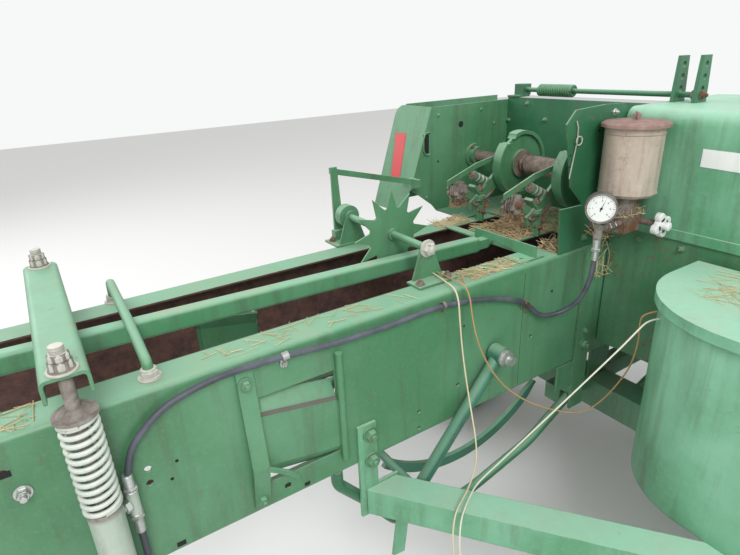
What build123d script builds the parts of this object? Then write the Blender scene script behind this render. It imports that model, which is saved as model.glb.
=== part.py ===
from build123d import *
import math
import os

# Small square baler, millimetres, built in a working frame:
# x = 0 at the knotter shaft with +X forwards, y = 0 on the bale case's centre with +Y left, z = 0 ground.
# Every node is moved at the end so that the origin is under the middle of the whole machine.

# Bale case
case_width = 470
case_bottom = 639
case_top = 1027
case_rear = -1750
case_front = 1120
sheet = 5
flange_width = 83
flange_bend = 14
case_half = case_width / 2
case_inner = case_half - sheet
floor_top = case_bottom + 2 * sheet
deck_top = case_top + sheet
window_x = (-1113, -938)
window_z = (707, 928)
feed_x = (90, 710)
feed_z = (665, 1001)

# Needles, which swing about a pin in the case's sides
pivot_x, pivot_z = -454, 808
needle_radius = 430
needle_depth = 30
needle_thick = 14
needle_y = 120
needle_tip_angle = -41
yoke_angle = -131.5
yoke_radius = needle_radius - 10
yoke_bar = 24
arm_tube = 17
arm_thick = 2 * arm_tube
arm_gap = 9
pivot_pin = 12.5
pivot_boss = 25
running = 0.05
seat = 0.3
slot_side = 12

# Knotters
knotter_z = 1208
knotter_y = 120
knotter_shaft = 20
disc_radius = 107
disc_width = 34
shield_top = 1400
left_shield_y = 345
drive_end_y = 430
bearing_radius = 42
sprocket_y, sprocket_radius, sprocket_teeth = 395, 112, 20
twine_x, twine_z = -239, 1148
drive_cover_y = 360
fold_top, fold_bottom = (-201, 1392), (-290, 1123)
panel_outer_y = 535
drive_cover_low = 1040
drive_cover_length = 620

# Bale counter wheel
star_x, star_z, star_y = -606, 1111, 7
star_tip, star_root, star_teeth = 120, 74, 12
star_plate = 4
star_tooth = 12
star_shaft = 10

# Rail, channels and springs that squeeze the bale
rail_y = (-45, -9)
rail_height = 45
rail_bend = 9
rail_rear_x, rail_front_x = -1720, -330
angle_x = -292
rail_rear_top, rail_front_top = 1088, 1052
channel_x = -1426
channel_width = 72
channel_leg = 40
channel_top = 1135
channel_sheet = 6
channel_bend = 12
lower_channel_top = 600
cylinder_radius = 29
cylinder_gap = 16
rod_y = case_half + cylinder_radius + cylinder_gap
rod_radius = 11
nut_radius = 18
washer_radius = 20
channel_half = rod_y + washer_radius
spring_radius = 33
spring_wire = 4.5
spring_turns = 12
spring_low, spring_high = 862, 1052
port_z = 826
tee_x, tee_y = -1379, 257
tee_half = 30

# Brace from the case to the axle
brace_start = (-848, -223)
brace_end = (300, -1720)
bracket_thick = 8
brace_size = 75
brace_top = 560

# Axle and wheels
axle_x = 100
axle_low, axle_high = 405, 505
axle_depth = 100
axle_left_y, axle_right_y = 300, -1800
wheel_z = 355
tyre_radius = 355
left_tyre_width, left_tyre_y = 240, 480
right_tyre_width, right_tyre_y = 190, -1965
rim_radius = 190
hub_radius = 55
spindle_radius = 22

# Auger and its housing
auger_x, auger_z = 360, 905
auger_radius = 200
auger_tube = 57
auger_pitch = 400
flight = 5
housing_rear_x, housing_front_x = 14, 690
housing_right_y = -1800
housing_left_y = -240
trough_floor = 690
lip_x = 655
hood_low = 1075
hood_top = 1405
hood_rear_bend, hood_front_bend = 36, 210
gap = 5

# Pickup
reel_x, reel_z = 1000, 440
band_radius = 230
tine_radius = 320
band_width = 40
band_count = 18
band_first_y = -395
band_pitch = 76
tine = 7
reel_bar_radius = 150
reel_gap = 10
pickup_pivot_x, pickup_pivot_z = 690, 655
pickup_pin = 12
end_plate = 5
pickup_left_y, pickup_right_y = -335, -1790

# Crank housing, gearbox and flywheel
housing_centre_x, housing_centre_z = 1520, 833
housing_radius = 410
housing_half = 150
gearbox_x = (1945, 2065)
flywheel_z = 760
flywheel_x = 2095
flywheel_radius = 250
flywheel_width = 60

# Tongue, jack and driveline
tongue_pivot_x = 2120
tongue_low, tongue_high = 372, 452
tongue_width = 100
hitch_x = 3250
hitch_bore = 13
jack_x, jack_y = 2760, 96
jack_leg = 25
driveline_rear_x = 2240
driveline_front_x = 3120
driveline_front_z = 620

# Twine box
box_rear_x, box_front_x = -362, -18
box_left_y, box_right_y = -522, -1350
box_corner = 220
box_wall = 4
lid_over = 12
lid_drop = 24
lid_top = 1045
lid_sheet = 3
hinge_x, hinge_z = -8, 1036
hinge_pin, hinge_knuckle = 5, 8
box_low = brace_top + seat
box_high = lid_top - lid_sheet - seat

# Hydraulic pump and hose
pump_x, pump_y = -66, -318
can_radius = 72
can_low, can_high = 1192, 1368
lid_radius = 83
hose_radius = 6.5
hose_y = -case_half - hose_radius - 7.5
twine_radius = 2
gauge_x = -191
gauge_y, gauge_z, gauge_radius = pump_y - 15, 1180, 36
gauge_tee_z = 1120
pump_low = 1092


def block(x, y, z):
    """A box between the low and high values given for each axis."""
    size = (x[1] - x[0], y[1] - y[0], z[1] - z[0])
    centre = ((x[0] + x[1]) / 2, (y[0] + y[1]) / 2, (z[0] + z[1]) / 2)
    return Pos(*centre) * Box(*size)


def bar(start, end, radius):
    """A round bar between two points."""
    along = Vector(*end) - Vector(*start)
    plane = Plane(origin=start, z_dir=along)
    return plane * Cylinder(radius, along.length, align=(Align.CENTER, Align.CENTER, Align.MIN))


def pipe(start, end, outer, inner):
    """A round tube between two points."""
    return bar(start, end, outer) - bar(start, end, inner)


def side_plate(points, y):
    """A plate whose outline is given in x and z, between two values of y."""
    outline = make_face(Polyline(*[(px, y[0], pz) for px, pz in points], close=True))
    return extrude(outline, amount=y[1] - y[0], dir=(0, 1, 0))


def cross_plate(points, x):
    """A plate whose outline is given in y and z, between two values of x."""
    outline = make_face(Polyline(*[(x[0], py, pz) for py, pz in points], close=True))
    return extrude(outline, amount=x[1] - x[0], dir=(1, 0, 0))


def bent_bar(points, radius, bend):
    """A round bar along straight runs with arcs at the corners."""
    path = FilletPolyline(*points, radius=bend)
    section = Plane(origin=path @ 0, z_dir=path % 0) * Circle(radius)
    return sweep(sections=section, path=path)


def polar(centre, radius, degrees):
    """A point in x and z at an angle above +X about a centre."""
    angle = math.radians(degrees)
    return (centre[0] + radius * math.cos(angle), centre[1] + radius * math.sin(angle))


def both_sides(shape):
    """A shape and its mirror image across the case."""
    return [shape, mirror(shape, about=Plane.XZ)]


def case_side(side):
    """One side of the bale case: a channel with its flanges bent inwards."""
    outer = side * case_half
    inner = side * case_inner
    edge = side * (case_half - flange_width)
    low, high = min(outer, inner), max(outer, inner)
    x = case_rear
    face = make_face(Polyline(
        (x, outer, case_bottom), (x, outer, case_top), (x, edge, case_top), (x, edge, case_top - sheet),
        (x, inner, case_top - sheet), (x, inner, case_bottom + sheet), (x, edge, case_bottom + sheet),
        (x, edge, case_bottom), close=True
    ))
    face = fillet([v for v in face.vertices() if abs(v.Y - outer) < 1], flange_bend)
    shape = extrude(face, amount=case_front - case_rear, dir=(1, 0, 0))
    through = (low - 1, high + 1)
    shape -= block(window_x, through, window_z)
    if side < 0:
        shape -= block(feed_x, through, feed_z)
    if side < 0:
        # Bolt holes on the side that the controls face: x, z, radius
        for hole_x, hole_z, hole_radius in (
            (-1548, 962, 8), (-1342, 865, 7), (-1344, 833, 7), (-1075, 679, 7), (-705, 716, 6), (-705, 665, 6),
            (-575, 745, 6), (-300, 800, 6),
        ):
            shape -= bar((hole_x, low - 1, hole_z), (hole_x, high + 1, hole_z), hole_radius)
    return shape


def case_floor():
    """Floor of the chamber, with slots that the needles rise through, and a rail behind it."""
    floor = block((-330, case_front), (-case_inner, case_inner), (case_bottom + sheet, floor_top))
    drop = pivot_z - floor_top
    reach = math.sqrt(needle_radius ** 2 - drop ** 2)
    slot_x = (pivot_x + reach - 40, pivot_x + reach + 50)
    for y in (-needle_y, needle_y):
        floor -= block(slot_x, (y - needle_thick / 2 - slot_side, y + needle_thick / 2 + slot_side), (600, 700))
    rail = block((case_rear + 30, -290), (-20, 20), (case_bottom - 35, case_bottom + sheet))
    return floor + rail


def deck():
    """Plate over the plunger, with a tongue between the needles that carries the knotters."""
    plate = block((-60, case_front), (-195, 195), (case_top, deck_top))
    plate += block((-250, -60), (-90, 90), (case_top, deck_top))
    return plate


def centre_rail():
    """Top rail with rounded edges, which falls a little towards the knotters."""
    points = [
        (rail_rear_x, rail_rear_top - rail_height), (rail_front_x, rail_front_top - rail_height),
        (rail_front_x, rail_front_top), (rail_rear_x, rail_rear_top),
    ]
    rail = side_plate(points, rail_y)
    long_edges = [e for e in rail.edges() if e.length > (rail_front_x - rail_rear_x) / 2]
    return fillet(long_edges, rail_bend) + cross_angle()


def cross_angle():
    """Angle past the rail's end, its foot notched and bolted on the right flange, and a flat bar across."""
    x, y = angle_x, rail_y[1] + 24
    right, low = -case_half + flange_bend, case_top
    face = cross_plate(
        [(right, low), (right + 62, low), (right + 90, 1036), (-60, 1042), (-38, 1012), (y, 1012), (y, 1064),
         (right, 1064)], (x, x + sheet)
    )
    foot = block((x - 58, x + sheet), (right, right + 62), (low, low + sheet))
    foot -= bar((x - 30, right + 22, low - 1), (x - 30, right + 22, low + sheet + 1), 6)
    tie = block((x + sheet, x + 36), (right, -right), (low, low + sheet))
    rail_end = block((rail_front_x, x), (rail_y[0] + 4, rail_y[1] - 4), (1014, 1042))
    return face + foot + tie + rail_end


def rail_top(x):
    """Height of the centre rail's top at x."""
    share = (x - rail_rear_x) / (rail_front_x - rail_rear_x)
    return rail_rear_top + share * (rail_front_top - rail_rear_top)


def cross_channel(top):
    """Channel across the machine with its legs down and its long edges rounded."""
    half = channel_width / 2
    x0, x1, low = channel_x - half, channel_x + half, top - channel_leg
    y = -channel_half
    outer = make_face(Polyline((x0, y, low), (x0, y, top), (x1, y, top), (x1, y, low), close=True))
    outer = fillet([v for v in outer.vertices() if v.Z > top - 1], channel_bend)
    inset = channel_sheet
    inner = make_face(Polyline(
        (x0 + inset, y, low - 1), (x0 + inset, y, top - inset), (x1 - inset, y, top - inset), (x1 - inset, y, low - 1),
        close=True
    ))
    inner = fillet([v for v in inner.vertices() if v.Z > low], channel_bend - inset)
    return extrude(outer, amount=2 * channel_half, dir=(0, 1, 0)) - extrude(
        inner, amount=2 * channel_half, dir=(0, 1, 0))


def upper_channel():
    """Channel across the top that the springs pull down onto the rail."""
    shape = cross_channel(channel_top)
    for y in (-rod_y, rod_y):
        shape -= bar((channel_x, y, channel_top - 50), (channel_x, y, channel_top + 5), rod_radius + 1)
    saddle = block(
        (channel_x - 25, channel_x + 25), (rail_y[0] + rail_bend, rail_y[1] - rail_bend),
        (rail_top(channel_x - 25), channel_top - channel_sheet)
    )
    return shape + saddle


def lower_channel():
    """Channel across the bottom that the cylinders pull up onto the lower rail."""
    pad = block((channel_x - 25, channel_x + 25), (-20, 20), (lower_channel_top, case_bottom - 35))
    return cross_channel(lower_channel_top) + pad


def tension_cylinders():
    """Cylinder with its port, rod, spring seat, washer and nuts at each end of the channels."""
    shapes = []
    for side in (-1, 1):
        y = side * rod_y
        body = bar((channel_x, y, lower_channel_top), (channel_x, y, spring_low), cylinder_radius)
        body += bar((channel_x, y, spring_low), (channel_x, y, channel_top + 38), rod_radius)
        body += bar((channel_x, y, spring_high), (channel_x, y, spring_high + 6), spring_radius + 2)
        body += Pos(channel_x, y, spring_high + 11) * Cone(spring_radius - 4, rod_radius + 4, 10)
        body += bar((channel_x, y, channel_top), (channel_x, y, channel_top + 5), washer_radius)
        body += hex_nut(channel_x, y, channel_top + 5, 14, nut_radius)
        body += hex_nut(channel_x, y, channel_top + 20, 11, nut_radius - 2)
        tee = (tee_x, side * tee_y, port_z)
        body += bar((channel_x, y, port_z), tee, 8)
        body += bar((tee_x, side * tee_y, port_z - tee_half), (tee_x, side * tee_y, port_z + tee_half), 11)
        shapes.append(body)
    return shapes


def hex_nut(x, y, low, height, radius):
    """A six-sided nut on an upright rod."""
    return Pos(x, y, low) * extrude(RegularPolygon(radius, 6), amount=height)


def ridged_sleeve(low, high, radius, wire, turns):
    """A close coil spring about the Z axis, as a sleeve ridged by its turns."""
    inner, valley = radius - 2 * wire, radius - wire
    turn = (high - low) / turns
    profile = [(inner, low)]
    for index in range(turns):
        profile += [(valley, low + index * turn), (radius, low + (index + 0.5) * turn)]
    profile += [(valley, high), (inner, high)]
    section = make_face(Polyline(*[(r, 0, z) for r, z in profile], close=True))
    return revolve(section, axis=Axis.Z)


def tension_springs():
    """Coil springs over the rods, between the cylinders and the seats."""
    spring = ridged_sleeve(spring_low + seat, spring_high - seat, spring_radius, spring_wire, spring_turns)
    return [Pos(channel_x, y, 0) * spring for y in (-rod_y, rod_y)]


def cross_rod():
    """Round rod arched over the rail, with feet on both flanges."""
    points = [
        (-1298, -192, 1036), (-1298, -187, 1058), (-1299, -50, 1087), (-1295, 202, 1087), (-1294, 226, 1036)
    ]
    feet = [bar((p[0], p[1], case_top), (p[0], p[1], case_top + 9), 15) for p in (points[0], points[-1])]
    rod = bent_bar(points, 10, [12, 60, 20])
    return rod + feet[0] + feet[1]


def resistor_straps():
    """Flat bars bent out over the windows, each with its bolts and a hooked rod."""
    side, out = -case_half, -case_half - 24
    top, middle, low = 1006, 775, 662
    x = (-1156, -1120)
    strap = cross_plate(
        [(side, top), (side - 6, top), (out - 6, middle), (side - 6, low), (side, low), (out, middle)], x
    )
    strap += bar((x[1] - 4, out - 3, middle - 5), (-1080, out + 2, 735), 6) + bar(
        (-1080, out + 2, 735), (-1056, out + 4, 709), 6)
    for z, reach in ((975, 17), (682, 20)):
        strap += bar((-1140, side - reach, z), (-1140, side, z), 9)
    return both_sides(strap)


def hay_resistors():
    """Creased plates that lean into the chamber through the windows, each on its upright hinge tube."""
    start, end = window_x[0] + 12, window_x[1] - 2
    outer = -case_half - 2
    fall = 31 / 175
    profile = [(outer, 757), (outer - 4, 757), (outer - 4, 884), (-214, 926), (-211, 922), (outer, 882)]
    face = make_face(Polyline(*[(start, y, z) for y, z in profile], close=True))
    plate = extrude(face, amount=(end - start) * math.hypot(1, fall), dir=(1, 0, -fall))
    drop = (end - start) * fall
    plate += block((end - 1, -925), (outer - 4, outer), (757 - drop + 1, 882 - drop - 4))
    plate += bar((-929, -case_half - 9, 686), (-929, -case_half - 9, 972), 9)
    return both_sides(plate)


def counter_bracket():
    """Two triangular brackets on the flanges that carry the bale counter's shaft."""
    shapes = []
    for y in (-145, 220):
        base = block((-665, -545), (y - 5, y + 72) if y > 0 else (y - 45, y + 9), (case_top, case_top + 6))
        foot_z = case_top + 6
        outline = [(-652, foot_z), (-558, foot_z), (star_x + 20, star_z), (star_x - 20, star_z)]
        rib = side_plate(outline, (y, y + 6))
        rib += bar((star_x, y, star_z), (star_x, y + 6, star_z), 20)
        rib -= bar((star_x, y - 1, star_z), (star_x, y + 7, star_z), star_shaft + running)
        shapes.append(base + rib)
    return shapes


def counter_wheel():
    """Toothed wheel that the bale turns, on its shaft across the case."""
    points = []
    step = 360 / star_teeth
    for tooth in range(star_teeth):
        for radius, offset in ((star_tip, 0), (star_root, star_tooth), (star_root, step - star_tooth)):
            points.append(polar((star_x, star_z), radius, tooth * step + offset))
    wheel = side_plate(points, (star_y - star_plate / 2, star_y + star_plate / 2))
    shaft = bar((star_x, -160, star_z), (star_x, 262, star_z), star_shaft)
    hub = bar((star_x, star_y - 8, star_z), (star_x, star_y + 8, star_z), 16)
    collar = bar((star_x, 232, star_z), (star_x, 262, star_z), 34)
    return wheel + shaft + hub + collar


def trip_linkage():
    """Trip arm and link from the bale counter to the knotter shield."""
    arm = side_plate([(-632, 1060), (-600, 1060), (-612, 1256), (-632, 1256)], (282, 290))
    arm += block((-640, -592), (262 + gap, 290), (case_top + 6, 1062))
    link = side_plate([(-632, 1236), (-300, 1150), (-300, 1168), (-632, 1254)], (290, 296))
    stop = block((-325, -285), (left_shield_y - sheet - 50, left_shield_y - sheet), (1140, 1166))
    return arm + link + stop


def knotter_shaft_assembly():
    """Knotter shaft with a cam disc for each knotter and its sprocket outside the left shield."""
    shaft = bar((0, housing_left_y, knotter_z), (0, drive_end_y, knotter_z), knotter_shaft)
    for y in (-knotter_y, knotter_y):
        disc = bar((0, y - disc_width / 2, knotter_z), (0, y + disc_width / 2, knotter_z), disc_radius)
        disc -= pipe((0, y - disc_width / 2 - 1, knotter_z), (0, y - 6, knotter_z), disc_radius - 12, 46)
        disc -= pipe((0, y + 6, knotter_z), (0, y + disc_width / 2 + 1, knotter_z), disc_radius - 12, 46)
        notch = bar((-70, y - disc_width, knotter_z + 104), (-70, y + disc_width, knotter_z + 104), 32)
        shaft += disc - notch
    shaft += bar((0, -75, knotter_z), (0, 75, knotter_z), 31)
    # Sprocket with a triangular tooth at each step
    points = []
    step = 360 / sprocket_teeth
    for tooth in range(sprocket_teeth):
        for radius, offset in ((sprocket_radius, -0.14 * step), (sprocket_radius, 0.14 * step),
                               (sprocket_radius - 11, 0.4 * step), (sprocket_radius - 11, 0.6 * step)):
            points.append(polar((0, knotter_z), radius, tooth * step + offset))
    shaft += side_plate(points, (sprocket_y, sprocket_y + 9))
    shaft += bar((0, sprocket_y - 20, knotter_z), (0, sprocket_y + 22, knotter_z), 38)
    return shaft


def knotter_frames():
    """Frame of each knotter, with its foot, twine discs, bill hook, spring stack and wiper bar."""
    shapes = []
    for y in (-knotter_y, knotter_y):
        inner = y + 22
        outer = inner + 10
        arm = side_plate(
            [(-40, 1160), (40, 1160), (46, 1240), (10, 1262), (-36, 1250), (-70, 1200), (-150, 1130),
             (-196, 1100), (-190, 1072), (-120, 1104)], (inner, outer)
        )
        arm -= bar((0, inner - 1, knotter_z), (0, outer + 1, knotter_z), knotter_shaft + running)
        # Foot: a flat bar up from the flange or the deck's tongue, bent back under the arm
        low = deck_top if y < 0 else case_top
        foot = side_plate([(-145, low), (-137, low), (-137, 1108), (-178, 1156), (-185, 1150), (-145, 1105)],
                          (inner - 5, inner + 25))
        foot -= bar((-160, inner + 10, 1055), (-130, inner + 10, 1055), 5)
        # Twine discs with a notch every quarter turn, on a short axle
        discs = bar((twine_x, inner - 4, twine_z), (twine_x, inner + 26, twine_z), 12)
        outline = []
        for quarter in range(4):
            for offset, radius in ((0, 20), (16, 30), (45, 30), (74, 30)):
                outline.append(polar((twine_x, twine_z), radius, 45 + 90 * quarter + offset))
        for index in range(3):
            start = inner - 2 + 9 * index
            discs += side_plate(outline, (start, start + 4))
        discs += side_plate([(-250, 1138), (-180, 1104), (-172, 1128), (-236, 1160)], (outer - 4, outer + 4))
        # Spring stack that presses the twine holder
        start, end = (-104, outer + 3, 1150), (-176, outer + 3, 1187)
        stack = bar(start, end, 8)
        for share in (0.15, 0.4, 0.65, 0.86):
            at = [a + (b - a) * share for a, b in zip(start, end)]
            to = [a + (b - a) * (share + 0.1) for a, b in zip(start, end)]
            stack += bar(at, to, 15)
        # Bill hook on its upright spindle, and the wiper bar above it
        bill = bar((-150, inner + 6, 1090), (-150, inner + 6, 1136), 9)
        bill += bar((-150, inner + 6, 1106), (-150, inner + 6, 1118), 19)
        bill += bar((-150, inner + 6, 1094), (-176, inner + 2, 1086), 6)
        wiper = side_plate([(-287, 1168), (-168, 1208), (-36, 1236), (-32, 1249), (-170, 1226), (-290, 1186)],
                           (inner + 4, inner + 9))
        shapes.append(arm + foot + discs + stack + bill + wiper)
    return shapes


def right_shield():
    """Upright plate at the right end of the knotters, with the shaft's bearing."""
    plate = side_plate(
        [(-211, case_top), (-225, 1158), (-129, 1155), (-189, 1212), (-230, 1380), (-197, 1413), (-76, 1418),
         (8, 1415), (60, 1330), (60, case_top)], (-case_half, -case_half + sheet)
    )
    plate += bar((0, housing_left_y, knotter_z), (0, -case_half, knotter_z), 34)
    plate -= bar((0, housing_left_y - 1, knotter_z), (0, -case_inner + 1, knotter_z), knotter_shaft + running)
    return plate


def left_shield():
    """Upright plate on the left with a foot on the case's flange and a flanged bearing for the shaft."""
    y = left_shield_y
    plate = side_plate([(-173, case_top), (168, case_top), (168, fold_top[1]), fold_top, fold_bottom,
                        (-196, 1053)], (y - sheet, y))
    plate += bar((0, y - sheet - 9, knotter_z), (0, y, knotter_z), bearing_radius)
    plate += bar((0, y - sheet - 26, knotter_z), (0, y, knotter_z), knotter_shaft + 12)
    plate -= bar((0, y - sheet - 30, knotter_z), (0, y + 1, knotter_z), knotter_shaft + running)
    plate += block((-173, 168), (196, y - sheet), (case_top, deck_top))
    return plate


def fold_x(z):
    """How far back the left shield's slanted fold lies at a height."""
    share = (z - fold_bottom[1]) / (fold_top[1] - fold_bottom[1])
    return fold_bottom[0] + share * (fold_top[0] - fold_bottom[0])


def rear_panel():
    """The left shield's sheet, bent round behind the drive at the slanted fold, and on along the outer side."""
    y, top, corner = left_shield_y, fold_top[1], 40
    # y, z round the panel
    outline = [(y - sheet, fold_bottom[1]), (y + 55, drive_cover_low), (panel_outer_y, drive_cover_low),
               (panel_outer_y, top), (y - sheet, top)]
    points = [(fold_x(z), across, z) for across, z in outline]
    face = make_face([FilletPolyline(*points, radius=[20, 12, corner]), Line(points[-1], points[0])])
    panel = extrude(face, amount=sheet, dir=(1, 0, 0))
    front = fold_x(drive_cover_low) + drive_cover_length
    panel += side_plate(
        [(fold_x(drive_cover_low + 12), drive_cover_low + 12), (fold_x(drive_cover_low) + 12, drive_cover_low),
         (front, drive_cover_low), (front, top), (fold_x(top) + corner, top), (fold_x(top - corner), top - corner)],
        (panel_outer_y - sheet, panel_outer_y)
    )
    return panel


def front_shield():
    """Plate across the machine in front of the knotters."""
    return block((164, 168), (-case_inner + 1, left_shield_y - sheet), (deck_top, shield_top))


def brace():
    """Square tube from the case's bracket to the axle, with the bracket, its bolts and a hanging flat bar."""
    dx = brace_end[0] - brace_start[0]
    dy = brace_end[1] - brace_start[1]
    length = math.hypot(dx, dy)
    low = brace_top - brace_size
    plane = Plane(
        origin=(brace_start[0], brace_start[1], brace_top - brace_size / 2),
        x_dir=(-dy / length, dx / length, 0), z_dir=(dx / length, dy / length, 0)
    )
    tube = extrude(plane * Rectangle(brace_size, brace_size), amount=length)
    inside = extrude(plane * Rectangle(brace_size - 10, brace_size - 10), amount=length)
    tube = tube - inside
    face = -case_half - bracket_thick
    axle_rear = axle_x - axle_depth / 2
    tube -= block((brace_start[0] - 200, brace_start[0] + 400), (face, 0), (low - 1, brace_top + 1))
    tube -= block((axle_rear - 8, brace_end[0] + 200), (brace_end[1] - 200, 0), (low - 1, brace_top + 1))
    # End plate against the axle's rear face
    end_y = brace_start[1] + (axle_rear - brace_start[0]) * dy / dx
    tube += block((axle_rear - 8, axle_rear), (end_y - 70, end_y + 90), (axle_low, brace_top))
    bracket = block((-893, -841), (face, -case_half), (low, 753))
    bracket += block((-893, -780), (face, -case_half), (low - 6, brace_top + 6))
    shape = bracket + tube
    for x, z in ((-857, 647), (-859, 723)):
        shape += bar((x, face - 14, z), (x, face, z), 13)
    hanger = Pos(-806, -285, 415) * Rot(0, 8, 0) * Box(36, 8, 140)
    return shape + hanger


def needle_guard():
    """Round hoops under the case that keep the needles off the ground."""
    shapes = []
    for y in (-218, 218):
        points = [
            (-64, y, 515), (-64, y, 500), (-250, y, 394), (-540, y, 322), (-773, y, 374), (-858, y, 492),
            (-944, y, 596), (-944, y, case_bottom)
        ]
        shapes.append(bent_bar(points, 15, [16, 240, 330, 90, 90, 40]))
    return shapes


def needle_yoke():
    """Two curved needles on a cross bar between arms that hang from the pivots."""
    centre = (pivot_x, pivot_z)
    inner = needle_radius - needle_depth / 2
    outer = needle_radius + needle_depth / 2
    mid = (yoke_angle + needle_tip_angle) / 2
    shape = None
    for y in (-needle_y, needle_y):
        low = y - needle_thick / 2
        def at(radius, angle):
            point = polar(centre, radius, angle)
            return (point[0], low, point[1])
        taper = needle_tip_angle - 7
        edges = (
            ThreePointArc(at(inner, yoke_angle), at(inner, mid), at(inner, taper))
            + Line(at(inner, taper), at(needle_radius - 5, needle_tip_angle))
            + Line(at(needle_radius - 5, needle_tip_angle), at(needle_radius + 9, needle_tip_angle))
            + Line(at(needle_radius + 9, needle_tip_angle), at(outer, taper))
            + ThreePointArc(at(outer, taper), at(outer, mid), at(outer, yoke_angle))
            + Line(at(outer, yoke_angle), at(inner, yoke_angle))
        )
        needle = extrude(make_face(edges), amount=needle_thick, dir=(0, 1, 0))
        shape = needle if shape is None else shape + needle
    end = polar(centre, yoke_radius, yoke_angle)
    arm_in = case_half + arm_gap
    arm_out = arm_in + arm_thick
    arm_y = arm_in + arm_tube
    shape += bar((end[0], -arm_in, end[1]), (end[0], arm_in, end[1]), yoke_bar / 2)
    for side in (-1, 1):
        y = sorted((side * arm_in, side * arm_out))
        arm = bar((pivot_x, side * arm_y, pivot_z), (end[0], side * arm_y, end[1]), arm_tube)
        arm += bar((end[0], y[0], end[1]), (end[0], y[1], end[1]), arm_tube)
        arm += bar((pivot_x, y[0] - 3, pivot_z), (pivot_x, y[1] + 3, pivot_z), pivot_boss)
        shape += arm
        shape -= bar((pivot_x, y[0] - 4, pivot_z), (pivot_x, y[1] + 4, pivot_z), pivot_pin + running)
    return shape


def needle_pivots():
    """Studs in the case's sides that the needle arms turn on, each with a washer, a nut and a bare end."""
    start = case_half + arm_gap + arm_thick + 3 + seat
    shape = bar((pivot_x, -start - 30, pivot_z), (pivot_x, -case_half, pivot_z), pivot_pin)
    shape += bar((pivot_x, -start - 5, pivot_z), (pivot_x, -start, pivot_z), 24)
    nut = Pos(pivot_x, -start - 5, pivot_z) * Rot(90, 0, 0) * extrude(RegularPolygon(19, 6), amount=15)
    shape += nut
    return both_sides(shape)


def plunger():
    """Plunger block with slots in its face for the needles."""
    x = (feed_x[1] + 5, case_front - 10)
    shape = block(x, (-case_inner + 8, case_inner - 8), (floor_top + 6, case_top - sheet - 6))
    shape -= block((x[0] + 20, x[1] + 1), (-case_inner + 30, case_inner - 30), (floor_top + 30, case_top - 35))
    for y in (-needle_y, needle_y):
        shape -= block((x[0] - 1, x[0] + 160), (y - 19, y + 19), (600, 1100))
    for y in (-206, 176):
        shape += block(x, (y, y + 30), (floor_top + seat, floor_top + 6))
    return shape


def axle():
    """Square axle under the case with drop plates, spindles and posts to the case and the housing."""
    half = axle_depth / 2
    x = (axle_x - half, axle_x + half)
    shape = block(x, (axle_right_y, axle_left_y), (axle_low, axle_high))
    shape -= block((x[0] + 8, x[1] - 8), (axle_right_y + 8, axle_left_y - 8), (axle_low + 8, axle_high - 8))
    for y, side in ((axle_left_y, 1), (axle_right_y, -1)):
        inner, outer = sorted((y, y + side * 14))
        shape += block(x, (inner, outer), (wheel_z - 60, axle_high))
    shape += bar((axle_x, axle_left_y, wheel_z), (axle_x, left_tyre_y + 70, wheel_z), spindle_radius)
    shape += bar((axle_x, right_tyre_y - 70, wheel_z), (axle_x, axle_right_y, wheel_z), spindle_radius)
    for y in (-200, 200):
        shape += block((x[0], x[1]), (y - 5, y + 5), (axle_high, case_bottom))
    for y in (-560, -1560):
        shape += block((x[0] + 20, x[1] - 20), (y - 30, y + 30), (axle_high, trough_floor - 4))
    return shape


def frame_posts():
    """Uprights at the needle end of the case, outside and below it, and rails from the axle to the front."""
    shapes = []
    for side in (-1, 1):
        y = sorted((side * case_half, side * (case_half - 60)))
        post = block((-88, -40), y, (515, case_bottom))
        outer = sorted((side * case_half, side * (case_half + bracket_thick)))
        post += block((-93, -31), outer, (464, case_top - 7))
        lug = sorted((side * case_half, side * (case_half - 6)))
        post += block((-159, -87), lug, (550, case_bottom))
        shapes.append(post)
        beam = sorted((side * 140, side * 198))
        shapes.append(block((-88, axle_x - axle_depth / 2), beam, (455, 515)))
        shapes.append(block((axle_x + axle_depth / 2, 1180), beam, (455, 515)))
    return shapes


def wheel(y, width, side):
    """Tyre and rim of one wheel, centred on y, with the hub towards the axle."""
    half = width / 2
    profile = [
        (rim_radius, -half + 30), (rim_radius + 40, -half + 8), (tyre_radius - 90, -half),
        (tyre_radius - 30, -half + 14), (tyre_radius - 4, -half + 48), (tyre_radius, -half + 75),
    ]
    points = profile + [(r, -w) for r, w in reversed(profile)]
    tyre = make_face(Polyline(*[(r, 0, w) for r, w in points], close=True))
    tyre = revolve(tyre, axis=Axis.Z)
    rim_half = half - 34
    disc_offset = side * 20
    rim = Cylinder(rim_radius - 0.3, 2 * rim_half) - Cylinder(rim_radius - 14, 2 * rim_half + 2)
    rim += Pos(0, 0, disc_offset) * Cylinder(rim_radius - 13, 8)
    rim += Cylinder(hub_radius, 2 * 58)
    rim -= Cylinder(spindle_radius + running, 400)
    place = Pos(axle_x, y, wheel_z) * Rot(90, 0, 0)
    return place * tyre, place * rim


def auger():
    """Auger tube with its flight, feeding towards the case."""
    left, right = housing_left_y - 22, housing_right_y + 22
    length = left - right
    tube = bar((auger_x, housing_right_y - 30, auger_z), (auger_x, left, auger_z), 20)
    tube += bar((auger_x, right, auger_z), (auger_x, left, auger_z), auger_tube)
    turns = (length - 60) / auger_pitch
    path = Helix(pitch=auger_pitch, height=auger_pitch * turns, radius=(auger_radius + auger_tube) / 2 - 2)
    section = Plane(origin=path @ 0, x_dir=(1, 0, 0), z_dir=path % 0)
    section *= Rectangle(auger_radius - auger_tube + 4, flight)
    blade = sweep(sections=section, path=path, is_frenet=True)
    blade = Pos(auger_x, right + 30, auger_z) * Rot(-90, 0, 0) * blade
    return tube + blade


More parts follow.
